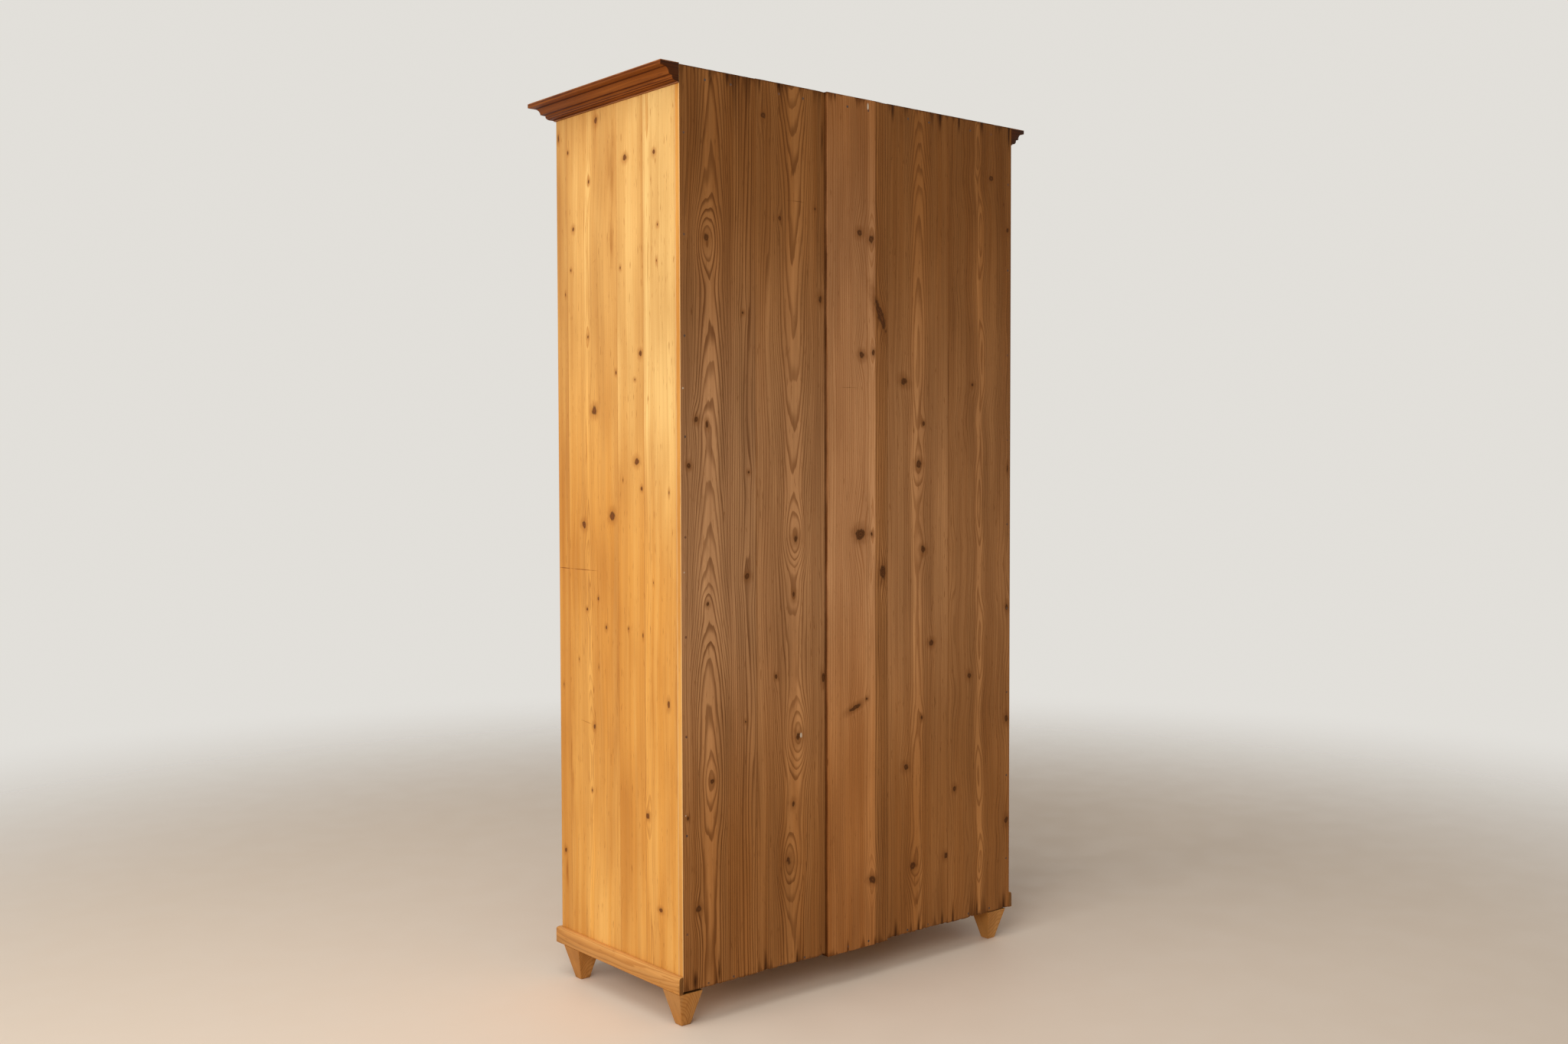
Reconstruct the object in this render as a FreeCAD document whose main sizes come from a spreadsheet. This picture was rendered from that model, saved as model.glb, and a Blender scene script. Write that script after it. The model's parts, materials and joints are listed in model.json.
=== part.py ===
import FreeCAD, Part
import Sketcher
import math
import os
import re

# A pine wardrobe with one panelled door between two fixed flanks.
# Origin: centre of the outer box on the floor. +Z is up, the door faces -Y and +X is the lock side.
# Every size is in millimetres and has its own cell in the sheet below.
SIZES = {
    "Whole carcass": {
        "height": 1892,
        "width": 947,
        "depth": 450,
        "foot_height": 70,
        "board_thick": 20,
        "side_thick": 20,
        "top_recess": 14,
        "tongue_thick": 8,
        "tongue_length": 6,
        "side_front_width": 188,
        "side_middle_width": 94,
    },
    "Back boards, counted from the +X side": {
        "back_thick": 16,
        "centre_proud": 3.5,
        "back_width_1": 188,
        "back_width_2": 188,
        "back_width_3": 176,
        "back_width_4": 190,
        "back_lap": 8,
        "left_bevel_width": 25,
        "left_bevel_drop": 3,
        "centre_bevel_width": 38,
        "top_drop_1": 2.7,
        "top_drop_2": 2,
        "top_drop_3": 1.3,
        "top_drop_4": 0.4,
        "top_drop_5": 0.2,
        "bottom_lift_1": 3.5,
        "bottom_lift_2": 4.5,
        "bottom_lift_3": -1.5,
        "bottom_lift_4": 2.5,
        "bottom_lift_5": 1,
        "nail_head_radius": 2.6,
        "nail_tip_radius": 0.8,
        "nail_length": 36,
        "nail_edge": 10,
        "nail_pitch": 190,
    },
    "Cornice and base moulding": {
        "cornice_out": 44,
        "cornice_height": 39,
        "cove_radius": 14,
        "ovolo_radius": 8,
        "base_out": 10,
        "base_height": 35,
        "base_round": 6,
        "glue_block_width": 13,
        "glue_block_drop": 1,
        "glue_block_length": 80,
    },
    "Feet": {
        "foot_top": 58,
        "foot_bottom": 22,
        "foot_left_inset": 12,
        "foot_front_setback": 22,
        "foot_tenon_radius": 11,
        "foot_tenon_cover": 2,
    },
    "Front frame": {
        "post_width": 50,
        "post_depth": 42,
        "top_rail_height": 60,
        "bottom_rail_height": 46,
        "flank_width": 88.5,
        "jamb_width": 40,
        "stop_lap": 12,
        "stop_thick": 12,
        "stop_gap": 1,
        "groove_setback": 7,
        "groove_width": 10,
        "groove_depth": 10,
    },
    "Door and panels": {
        "door_thick": 24,
        "door_gap": 2,
        "stile_width": 92,
        "door_top_rail": 92,
        "lock_rail_centre": 925,
        "lock_rail_height": 120,
        "door_bottom_rail": 130,
        "tenon_length": 35,
        "tenon_shoulder": 14,
        "panel_play": 2,
        "panel_slack": 0.2,
        "field_margin": 24,
        "field_edge": 3,
        "field_setback": 2,
    },
    "Hinges": {
        "barrel_radius": 5,
        "barrel_clear": 0.3,
        "pin_radius": 2.8,
        "pin_fit": 0.06,
        "pin_rise": 33,
        "pin_head_room": 6,
        "hinge_half": 45,
        "hinge_inset": 190,
        "leaf_thick": 1.8,
        "leaf_clear": 0.1,
        "leaf_setback": 4,
        "finial_radius": 4.4,
        "screw_head_radius": 3,
        "screw_tip_radius": 0.9,
        "screw_length": 18,
        "screw_pitch": 32,
    },
    "Lock and key": {
        "lock_above_rail": 65,
        "lock_width": 64,
        "lock_tall": 84,
        "lock_wall": 1.5,
        "lock_back_room": 2.5,
        "lock_gap": 3,
        "lock_ear": 14,
        "key_backset": 38,
        "bit_room": 2,
        "bolt_height": 14,
        "bolt_thick": 6,
        "bolt_offset": 3,
        "bolt_length": 50,
        "bolt_throw": 12,
        "bolt_clear": 0.3,
        "strike_thick": 1.5,
        "strike_tall": 50,
        "key_shank_radius": 2.4,
        "key_clear": 0.6,
        "key_out": 20,
        "key_collar_out": 6,
        "key_collar_radius": 4,
        "key_collar_length": 2.4,
        "key_bow_radius": 8,
        "key_bow_wire": 1.8,
        "key_bit_length": 11,
        "key_bit_thick": 2.4,
        "escutcheon_width": 26,
        "escutcheon_height": 52,
        "escutcheon_thick": 1.6,
    },
    "Inside": {
        "shelf_height": 1530,
        "shelf_thick": 18,
        "shelf_clear": 4,
        "cleat_thick": 18,
        "cleat_height": 34,
        "peg_drop": 90,
        "peg_rail_thick": 20,
        "peg_rail_width": 84,
        "peg_side_room": 110,
        "peg_length": 78,
        "peg_radius": 7,
        "peg_neck_radius": 5.6,
        "peg_head_radius": 11,
        "peg_head_round": 14,
        "peg_head_length": 20,
        "fit_clear": 0.1,
    },
}
VALUES = {alias: number for group in SIZES.values() for alias, number in group.items()}
PEG_COUNT = 5

# Planes that several pieces share, as formulas of the sizes.
FRONT = "((cornice_out - depth - centre_proud) / 2)"
BACK = f"({FRONT} + depth)"
BACK_INSIDE = f"({BACK} - back_thick)"
HALF = "(width / 2)"
SIDE_INSIDE = "(width / 2 - side_thick)"
FLOOR_TOP = "(foot_height + board_thick)"
ROOF_TOP = "(height - top_recess)"
ROOF_UNDER = f"({ROOF_TOP} - board_thick)"
POST_INSIDE = "(width / 2 - post_width)"
POST_BACK = f"({FRONT} + post_depth)"
FRAME_BACK = f"({FRONT} + door_thick + stop_gap)"
STOP_BACK = f"({FRAME_BACK} + stop_thick)"
JAMB_OUT = f"({POST_INSIDE} - flank_width)"
OPENING = f"({JAMB_OUT} - jamb_width)"
STOP_EDGE = f"({OPENING} - stop_lap)"
TOP_RAIL_LOW = f"({ROOF_UNDER} - top_rail_height)"
BOTTOM_RAIL_TOP = f"({FLOOR_TOP} + bottom_rail_height)"
GROOVE = (f"{FRONT} + groove_setback", f"{FRONT} + groove_setback + groove_width")
LOCK_RAIL_LOW = "(lock_rail_centre - lock_rail_height / 2)"
LOCK_RAIL_TOP = "(lock_rail_centre + lock_rail_height / 2)"
DOOR_LOW = f"({BOTTOM_RAIL_TOP} + door_gap)"
DOOR_TOP = f"({TOP_RAIL_LOW} - door_gap)"
DOOR_SIDE = f"({OPENING} - door_gap)"
DOOR_BACK = f"({FRONT} + door_thick)"
STILE_INSIDE = f"({DOOR_SIDE} - stile_width)"
DOOR_RAILS = {
    "door_bottom_rail": (DOOR_LOW, f"({DOOR_LOW} + door_bottom_rail)"),
    "door_lock_rail": (LOCK_RAIL_LOW, LOCK_RAIL_TOP),
    "door_top_rail": (f"({DOOR_TOP} - door_top_rail)", DOOR_TOP),
}
HINGE_X = f"(door_gap / 2 - {OPENING})"
HINGE_Y = f"({FRONT} - barrel_radius - barrel_clear)"
HINGE_HEIGHTS = (f"({DOOR_LOW} + hinge_inset)", f"({DOOR_TOP} - hinge_inset)")
LEAF_BACK = f"({DOOR_BACK} - leaf_setback)"
FOOT_TENON = "(board_thick - tongue_length - foot_tenon_cover)"
LOCK_Z = f"({LOCK_RAIL_TOP} + lock_above_rail)"
LOCK_EDGE = f"({STOP_EDGE} - lock_gap)"
LOCK_BACK = f"({DOOR_BACK} + bolt_offset + bolt_thick + lock_back_room + lock_wall)"
KEY_X = f"({LOCK_EDGE} - key_backset)"
BOLT_Y = (f"{DOOR_BACK} + bolt_offset", f"{DOOR_BACK} + bolt_offset + bolt_thick")
BOLT_LOW = f"({LOCK_Z} + key_bit_length + bit_room)"
BOLT_Z = (BOLT_LOW, f"({BOLT_LOW} + bolt_height)")
PEG_Z = "(shelf_height - peg_drop)"

doc = FreeCAD.newDocument("Wardrobe")
sheet = doc.addObject("Spreadsheet::Sheet", "Sizes")
finished = {}


def fill_sheet():
    """Writes each group's heading and sizes, one size to a row."""
    row = 1
    for heading, group in SIZES.items():
        sheet.set(f"A{row}", heading)
        for alias, number in group.items():
            row += 1
            sheet.set(f"A{row}", alias)
            sheet.set(f"B{row}", str(number))
            sheet.setAlias(f"B{row}", alias)
        row += 1
    doc.recompute()


def formula(text):
    """The text with each size's name turned into its cell."""
    return re.sub(r"[a-z]\w*", lambda word: f"Sizes.{word[0]}" if word[0] in VALUES else word[0], text)


def number(text):
    """What a formula comes to."""
    return float(sheet.evalExpression(formula(text)))


def bind(thing, **formulas):
    for name, text in formulas.items():
        thing.setExpression(name, formula(text))
    return thing


def place(thing, x="0", y="0", z="0"):
    for axis, text in zip("xyz", (x, y, z)):
        thing.setExpression(f"Placement.Base.{axis}", formula(text))
    return thing


def finish(thing, label):
    """Names a finished piece."""
    thing.Label = label
    finished[label] = thing
    return thing


def mirrored(sign, low, high):
    """A pair of planes on the +X side, or its image on the -X side."""
    return (low, high) if sign > 0 else (f"-({high})", f"-({low})")


def shifted(sign, text):
    return text if sign > 0 else f"-({text})"


def block(x, y, z):
    """A squared block between three pairs of planes."""
    box = doc.addObject("Part::Box", "Block")
    sides = dict(zip(("Length", "Width", "Height"), (x, y, z)))
    bind(box, **{side: f"({high}) - ({low})" for side, (low, high) in sides.items()})
    return place(box, x[0], y[0], z[0])


# Turns that lay a round or tapered piece's own axis along the named direction.
TURNS = {
    "+Z": FreeCAD.Rotation(),
    "+Y": FreeCAD.Rotation(FreeCAD.Vector(1, 0, 0), -90),
    "-Y": FreeCAD.Rotation(FreeCAD.Vector(1, 0, 0), 90),
    "+X": FreeCAD.Rotation(FreeCAD.Vector(0, 1, 0), 90),
    "-X": FreeCAD.Rotation(FreeCAD.Vector(0, 1, 0), -90),
}


def turned(thing, direction, at):
    thing.Placement = FreeCAD.Placement(FreeCAD.Vector(), TURNS[direction])
    return place(thing, *at)


def rod(radius, length, at, direction="+Z"):
    cylinder = bind(doc.addObject("Part::Cylinder", "Rod"), Radius=radius, Height=length)
    return turned(cylinder, direction, at)


def taper(head, tip, length, at, direction):
    """A nail or screw as a tapered pin, with its head at the start."""
    cone = bind(doc.addObject("Part::Cone", "Taper"), Radius1=head, Radius2=tip, Height=length)
    return turned(cone, direction, at)


def screw(at, direction):
    return taper("screw_head_radius", "screw_tip_radius", "screw_length", at, direction)


def joined(pieces):
    if len(pieces) == 1:
        return pieces[0]
    fusion = doc.addObject("Part::MultiFuse", "Joined")
    fusion.Shapes = pieces
    return fusion


def grouped(pieces):
    group = doc.addObject("Part::Compound", "Group")
    group.Links = pieces
    return group


def cut_away(base, tools):
    cut = doc.addObject("Part::Cut", "Worked")
    cut.Base = base
    cut.Tool = joined(tools)
    return cut


def worked(label, add, cut=()):
    """A piece of joined blocks with its grooves, mortises and holes cut away."""
    solid = joined(add)
    return finish(cut_away(solid, cut) if cut else solid, label)


def arc_between(start, end, radius):
    """The lesser arc that runs anticlockwise from start to end."""
    chord = end - start
    left = FreeCAD.Vector(-chord.y, chord.x, 0).normalize()
    reach = math.sqrt(max(radius**2 - (chord.Length / 2) ** 2, 0))
    centre = (start + end) * 0.5 + left * reach
    return Part.Arc(start, centre - left * radius, end)


def outline(body, plane, corners, arcs=None):
    """A closed sketch through the corners. arcs gives the round edges' radii, and 1 where the centre
    is on the left of the way round or -1 where it is on the right."""
    arcs = arcs or {}
    sketch = body.newObject("Sketcher::SketchObject", "Outline")
    support = next(feature for feature in body.Origin.OriginFeatures if feature.Role == plane)
    sketch.AttachmentSupport = [(support, "")]
    sketch.MapMode = "FlatFace"
    points = [FreeCAD.Vector(number(u), number(v), 0) for u, v in corners]
    starts = []
    for edge, (start, end) in enumerate(zip(points, points[1:] + points[:1])):
        radius, side = arcs.get(edge, (None, 1))
        first, last = (start, end) if side > 0 else (end, start)
        curve = arc_between(first, last, number(radius)) if radius else Part.LineSegment(first, last)
        sketch.addGeometry(curve)
        starts.append(1 if side > 0 else 2)
    for edge, (u, v) in enumerate(corners):
        before = edge - 1 if edge else len(corners) - 1
        meeting = (before, 3 - starts[before], edge, starts[edge])
        sketch.addConstraint(Sketcher.Constraint("Coincident", *meeting))
        for kind, text in (("DistanceX", u), ("DistanceY", v)):
            rule = sketch.addConstraint(Sketcher.Constraint(kind, edge, starts[edge], number(text)))
            sketch.setExpression(f"Constraints[{rule}]", formula(text))
    for edge, (radius, _) in arcs.items():
        rule = sketch.addConstraint(Sketcher.Constraint("Radius", edge, number(radius)))
        sketch.setExpression(f"Constraints[{rule}]", formula(radius))
    return sketch


def pad(body, sketch, length, symmetric=False):
    feature = body.newObject("PartDesign::Pad", "Pad")
    feature.Profile = sketch
    feature.SideType = "Symmetric" if symmetric else "One side"
    return bind(feature, Length=length)


def pocket_through(body, corners):
    """Cuts an upright prism out of a moulding, whichever way the moulding lies from its sketch."""
    doc.recompute()
    before = body.Shape.Volume
    sketch = outline(body, "XY_Plane", corners)
    cut = body.newObject("PartDesign::Pocket", "Pocket")
    cut.Profile = sketch
    cut.Type = "ThroughAll"
    doc.recompute()
    if before - body.Shape.Volume < 1:
        cut.Reversed = True
        doc.recompute()
    if before - body.Shape.Volume < 1:
        raise RuntimeError(f"a mitre of {body.Label} cuts nothing")


# Outline of the cornice, from its top at the carcass outwards and down, as shares of its own
# projection and height: fascia, fillet, cove, fillet, ovolo and neck.
CORNICE_SHARES = [
    (0, 0),
    (1, 0),
    (1, 0.23),
    (0.77, 0.28),
    (0.56, 0.62),
    (0.38, 0.69),
    (0.21, 0.92),
    (0.09, 0.92),
    (0.09, 1),
    (0, 1),
]
CORNICE = [(f"{out} * cornice_out", f"-{drop} * cornice_height") for out, drop in CORNICE_SHARES]
CORNICE_ARCS = {3: ("cove_radius", 1), 5: ("ovolo_radius", -1)}
BASE = [
    ("0", "0"),
    ("0", "base_height"),
    ("base_out - base_round", "base_height"),
    ("base_out", "base_height - base_round"),
    ("base_out", "0"),
]
BASE_ARCS = {2: ("base_round", -1)}
# How far a mitre's cutting prism reaches past the moulding.
MITRE_PLAY = "1"
# Middles of the glue blocks: along the front, as shares of the width, and along each side, of the depth.
FRONT_GLUE_SHARES = (-0.36, 0, 0.36)
SIDE_GLUE_SHARES = (0.3, 0.75)


def moulding(name, profile, arcs, out, level):
    """A front length and two side lengths of one moulding, mitred where they meet."""
    front = doc.addObject("PartDesign::Body", f"{name}_front")
    place(front, "0", FRONT, level)
    facing = [(f"-({u})", v) for u, v in profile]
    facing_arcs = {edge: (radius, -side) for edge, (radius, side) in arcs.items()}
    pad(front, outline(front, "YZ_Plane", facing, facing_arcs), f"width + 2 * {out}", symmetric=True)
    past = f"-({out}) - {MITRE_PLAY}"
    for sign in (1, -1):
        far = shifted(sign, f"{HALF} + {out} + {MITRE_PLAY}")
        near = shifted(sign, f"{HALF} - {MITRE_PLAY}")
        pocket_through(front, [(near, MITRE_PLAY), (far, past), (far, MITRE_PLAY)])
    finish(front, f"{name}_front")
    for sign, side in ((1, "right"), (-1, "left")):
        body = doc.addObject("PartDesign::Body", f"{name}_{side}")
        place(body, shifted(sign, HALF), BACK, level)
        sideways = [(shifted(sign, u), v) for u, v in profile]
        sideways_arcs = {edge: (radius, sign * turn) for edge, (radius, turn) in arcs.items()}
        pad(body, outline(body, "XZ_Plane", sideways, sideways_arcs), f"depth + {out}")
        near = shifted(sign, f"-{MITRE_PLAY}")
        far = shifted(sign, f"{out} + {MITRE_PLAY}")
        tip = f"-depth - {out} - {MITRE_PLAY}"
        pocket_through(body, [(near, f"-depth + {MITRE_PLAY}"), (far, tip), (near, tip)])
        finish(body, f"{name}_{side}")


def around(middle, length):
    """The planes half a length to each side of a middle."""
    return (f"{middle} - {length} / 2", f"{middle} + {length} / 2")


def make_mouldings():
    moulding("cornice", CORNICE, CORNICE_ARCS, "cornice_out", "height")
    moulding("base_moulding", BASE, BASE_ARCS, "base_out", "foot_height")
    blocks = []
    upright = (ROOF_TOP, "height - glue_block_drop")
    for share in FRONT_GLUE_SHARES:
        along = around(f"{share} * width", "glue_block_length")
        blocks.append(block(along, (FRONT, f"{FRONT} + glue_block_width"), upright))
    for sign in (1, -1):
        across = mirrored(sign, f"{HALF} - glue_block_width", HALF)
        for share in SIDE_GLUE_SHARES:
            along = around(f"{FRONT} + {share} * depth", "glue_block_length")
            blocks.append(block(across, along, upright))
    finish(grouped(blocks), "cornice_glue_blocks")


# Seams of the back boards, as distances from the +X edge.
SEAM_2 = "(back_width_1 + back_width_2)"
SEAM_3 = f"({SEAM_2} + back_width_3)"
BACK_SEAMS = ["0", "back_width_1", SEAM_2, SEAM_3, f"({SEAM_3} + back_width_4)", "width"]
BACK_COUNT = len(BACK_SEAMS) - 1
# From a back board's middle to its end nails, as a share of the board's width.
NAIL_SPREAD = 0.17


def board_section(index):
    """Plan of one back board, in distances from the +X edge and outwards from the inner face."""
    left = BACK_SEAMS[index - 1]
    right = BACK_SEAMS[index]
    face = "back_thick"
    rebate = "back_thick / 2"
    if index == 2:
        ridge = f"{right} - left_bevel_width"
        low = f"{face} - left_bevel_drop"
        return [(left, "0"), (right, "0"), (right, low), (ridge, face), (left, face)]
    if index == 3:
        high = "back_thick + centre_proud"
        ridge = f"{right} - centre_bevel_width"
        lap = f"{right} + back_lap"
        inner = [(left, "0"), (lap, "0"), (lap, rebate), (right, rebate)]
        return inner + [(right, face), (ridge, high), (left, high)]
    if index == 4:
        lap = f"{left} + back_lap"
        outer = [(right, face), (left, face), (left, rebate), (lap, rebate)]
        return [(lap, "0"), (right, "0")] + outer
    return [(left, "0"), (right, "0"), (right, face), (left, face)]


def make_nails():
    """Nails through the back boards into the sides, the roof board and the floor board."""
    def nail(x, y, z):
        return taper("nail_head_radius", "nail_tip_radius", "nail_length", (x, y, z), "-Y")

    nails = []
    rows = int((number(ROOF_UNDER) - number(FLOOR_TOP)) // number("nail_pitch"))
    for sign in (1, -1):
        for row in range(rows):
            height = f"{FLOOR_TOP} + ({row} + 0.5) / {rows} * ({ROOF_UNDER} - {FLOOR_TOP})"
            nails.append(nail(shifted(sign, f"{HALF} - nail_edge"), BACK, height))
    for index in range(1, BACK_COUNT + 1):
        left = BACK_SEAMS[index - 1]
        right = BACK_SEAMS[index]
        face = f"{BACK} + centre_proud" if index == 3 else BACK
        for sign in (1, -1):
            x = f"{HALF} - ({left} + {right}) / 2 - {sign * NAIL_SPREAD} * ({right} - {left})"
            for level in (f"{FLOOR_TOP} - nail_edge", f"{ROOF_UNDER} + nail_edge"):
                nails.append(nail(x, face, level))
    return finish(grouped(nails), "back_nails")


def make_back(nails):
    for index in range(1, BACK_COUNT + 1):
        body = doc.addObject("PartDesign::Body", f"back_board_{index}_blank")
        low = f"foot_height + bottom_lift_{index}"
        high = f"height - top_drop_{index}"
        place(body, HALF, BACK_INSIDE, low)
        section = outline(body, "XY_Plane", [(f"-({u})", v) for u, v in board_section(index)])
        pad(body, section, f"{high} - ({low})")
        worked(f"back_board_{index}", [body], [nails])


FOOT_RIGHT = f"{HALF} + base_out - foot_top / 2"
FOOT_LEFT = f"foot_left_inset + foot_top / 2 - {HALF}"
FOOT_FRONT = f"{FRONT} + foot_front_setback + foot_top / 2"
FOOT_BACK = f"{BACK} - foot_top / 2"
FEET = {
    "front_right": (FOOT_RIGHT, FOOT_FRONT),
    "front_left": (FOOT_LEFT, FOOT_FRONT),
    "back_right": (FOOT_RIGHT, FOOT_BACK),
    "back_left": (FOOT_LEFT, FOOT_BACK),
}
TONGUE = around(f"{HALF} - side_thick / 2", "tongue_thick")
SIDE_SEAM_1 = f"{POST_BACK} + side_front_width"
SIDE_SEAMS = [POST_BACK, SIDE_SEAM_1, f"{SIDE_SEAM_1} + side_middle_width", BACK_INSIDE]


def make_carcass(nails):
    along = (POST_BACK, BACK_INSIDE)
    roof = block((f"-{HALF}", HALF), (FRONT, BACK_INSIDE), (ROOF_UNDER, ROOF_TOP))
    floor = block((f"-{HALF}", HALF), (FRONT, BACK_INSIDE), ("foot_height", FLOOR_TOP))
    roof_cuts = [nails]
    floor_cuts = [nails]
    for sign in (1, -1):
        across = mirrored(sign, *TONGUE)
        roof_cuts.append(block(across, along, (ROOF_UNDER, f"{ROOF_UNDER} + tongue_length")))
        floor_cuts.append(block(across, along, (f"{FLOOR_TOP} - tongue_length", FLOOR_TOP)))
    for x, y in FEET.values():
        floor_cuts.append(rod("foot_tenon_radius + fit_clear", FOOT_TENON, (x, y, "foot_height")))
    worked("top_board", [roof], roof_cuts)
    worked("bottom_board", [floor], floor_cuts)
    tongue_ends = (f"{FLOOR_TOP} - tongue_length", f"{ROOF_UNDER} + tongue_length")
    for sign, side in ((1, "right"), (-1, "left")):
        for name, low, high in zip(("front", "middle", "rear"), SIDE_SEAMS, SIDE_SEAMS[1:]):
            board = block(mirrored(sign, SIDE_INSIDE, HALF), (low, high), (FLOOR_TOP, ROOF_UNDER))
            tongue = block(mirrored(sign, *TONGUE), (low, high), tongue_ends)
            worked(f"side_{side}_{name}_board", [board, tongue], [nails] if name == "rear" else [])


def make_feet():
    """Square feet that taper to the floor, each with a round tenon in the floor board."""
    for name, (x, y) in FEET.items():
        foot = doc.addObject("Part::Wedge", f"foot_{name}_taper")
        bind(foot, Ymin="0", Ymax="foot_height")
        for axis in "XZ":
            bind(foot, **{f"{axis}min": "-foot_bottom / 2", f"{axis}max": "foot_bottom / 2"})
            bind(foot, **{f"{axis}2min": "-foot_top / 2", f"{axis}2max": "foot_top / 2"})
        turned(foot, "-Y", (x, y, "0"))
        tenon = rod("foot_tenon_radius", FOOT_TENON, (x, y, "foot_height"))
        worked(f"foot_{name}", [foot, tenon])


def fielded_panel(label, x, z):
    """A panel whose thin edge stands in the grooves round the opening x by z, with a raised field."""
    held = "(groove_depth - panel_play)"
    across = (f"{x[0]} - {held}", f"{x[1]} + {held}")
    upright = (f"{z[0]} - {held}", f"{z[1]} + {held}")
    plate_front = f"{GROOVE[0]} + panel_slack"
    plate = block(across, (plate_front, f"{GROOVE[1]} - panel_slack"), upright)
    field = doc.addObject("Part::Wedge", f"{label}_field")
    bind(field, Ymin=f"{FRONT} + field_setback", Ymax=plate_front)
    for axis, (low, high) in (("X", x), ("Z", z)):
        bind(field, **{f"{axis}min": f"{low} + field_margin", f"{axis}max": f"{high} - field_margin"})
        bind(field, **{f"{axis}2min": f"{low} + field_edge", f"{axis}2max": f"{high} - field_edge"})
    worked(label, [plate, field])


def leaf_span(sign, clear):
    """The planes of a hinge leaf beside the hinge's axis, on the door's side or the frame's."""
    near = f"{HINGE_X} + {shifted(sign, clear)}"
    far = f"{HINGE_X} + {shifted(sign, 'leaf_clear + leaf_thick')}"
    return (near, far) if sign > 0 else (far, near)


def leaf_rooms(sign):
    """The shallow mortises for one side's hinge leaves."""
    rooms = []
    for z in HINGE_HEIGHTS:
        rooms.append(block(leaf_span(sign, "0"), (FRONT, LEAF_BACK), around(z, "(2 * hinge_half)")))
    return rooms


def make_rails_across():
    """The frame's top and bottom rails, tenoned into the posts."""
    frame = (FRONT, FRAME_BACK)
    tenons = (f"-{POST_INSIDE} - groove_depth", f"{POST_INSIDE} + groove_depth")
    between = (f"-{POST_INSIDE}", POST_INSIDE)
    above = (TOP_RAIL_LOW, ROOF_UNDER)
    below = (FLOOR_TOP, BOTTOM_RAIL_TOP)
    top_grooves = []
    bottom_grooves = []
    for sign in (1, -1):
        across = mirrored(sign, OPENING, f"{POST_INSIDE} + groove_depth")
        top_grooves.append(block(across, GROOVE, (TOP_RAIL_LOW, f"{TOP_RAIL_LOW} + groove_depth")))
        bottom_grooves.append(block(across, GROOVE, (f"{BOTTOM_RAIL_TOP} - groove_depth", BOTTOM_RAIL_TOP)))
    stop_back = block((f"-{JAMB_OUT}", JAMB_OUT), (FRAME_BACK, STOP_BACK), above)
    lip = (f"{TOP_RAIL_LOW} - stop_lap", TOP_RAIL_LOW)
    stop_lip = block((f"-{STOP_EDGE}", STOP_EDGE), (FRAME_BACK, STOP_BACK), lip)
    top = [block(between, frame, above), block(tenons, GROOVE, above), stop_back, stop_lip]
    worked("front_top_rail", top, top_grooves)
    bottom = [block(between, frame, below), block(tenons, GROOVE, below)]
    worked("front_bottom_rail", bottom, bottom_grooves)


def make_post(sign, side):
    whole = (FLOOR_TOP, ROOF_UNDER)
    post = block(mirrored(sign, POST_INSIDE, HALF), (FRONT, POST_BACK), whole)
    groove = block(mirrored(sign, POST_INSIDE, f"{POST_INSIDE} + groove_depth"), GROOVE, whole)
    worked(f"post_{side}", [post], [groove])


def make_jamb(sign, label, fittings):
    """An upright beside the door with its stop, cut for the fittings that it carries."""
    upright = (BOTTOM_RAIL_TOP, TOP_RAIL_LOW)
    across = mirrored(sign, OPENING, JAMB_OUT)
    held = (f"{BOTTOM_RAIL_TOP} - groove_depth", f"{TOP_RAIL_LOW} + groove_depth")
    face = block(across, (FRONT, FRAME_BACK), upright)
    tenon = block(across, GROOVE, held)
    stop = block(mirrored(sign, STOP_EDGE, JAMB_OUT), (FRAME_BACK, STOP_BACK), upright)
    groove = block(mirrored(sign, f"{JAMB_OUT} - groove_depth", JAMB_OUT), GROOVE, held)
    worked(label, [face, tenon, stop], [groove] + fittings)


def make_flank(sign, side):
    """The fixed panels between a post and a jamb, with the rail between them."""
    across = mirrored(sign, JAMB_OUT, POST_INSIDE)
    held = mirrored(sign, f"{JAMB_OUT} - groove_depth", f"{POST_INSIDE} + groove_depth")
    rail = block(across, (FRONT, FRAME_BACK), (LOCK_RAIL_LOW, LOCK_RAIL_TOP))
    tenon = block(held, GROOVE, (LOCK_RAIL_LOW, LOCK_RAIL_TOP))
    low_groove = block(held, GROOVE, (LOCK_RAIL_LOW, f"{LOCK_RAIL_LOW} + groove_depth"))
    top_groove = block(held, GROOVE, (f"{LOCK_RAIL_TOP} - groove_depth", LOCK_RAIL_TOP))
    worked(f"flank_rail_{side}", [rail, tenon], [low_groove, top_groove])
    fielded_panel(f"flank_panel_lower_{side}", across, (BOTTOM_RAIL_TOP, LOCK_RAIL_LOW))
    fielded_panel(f"flank_panel_upper_{side}", across, (LOCK_RAIL_TOP, TOP_RAIL_LOW))


def make_front_frame(hinge_screws):
    make_rails_across()
    make_jamb(1, "lock_jamb", strike_rooms())
    make_jamb(-1, "hinge_jamb", leaf_rooms(-1) + [hinge_screws])
    for sign, side in ((1, "right"), (-1, "left")):
        make_post(sign, side)
        make_flank(sign, side)


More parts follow.
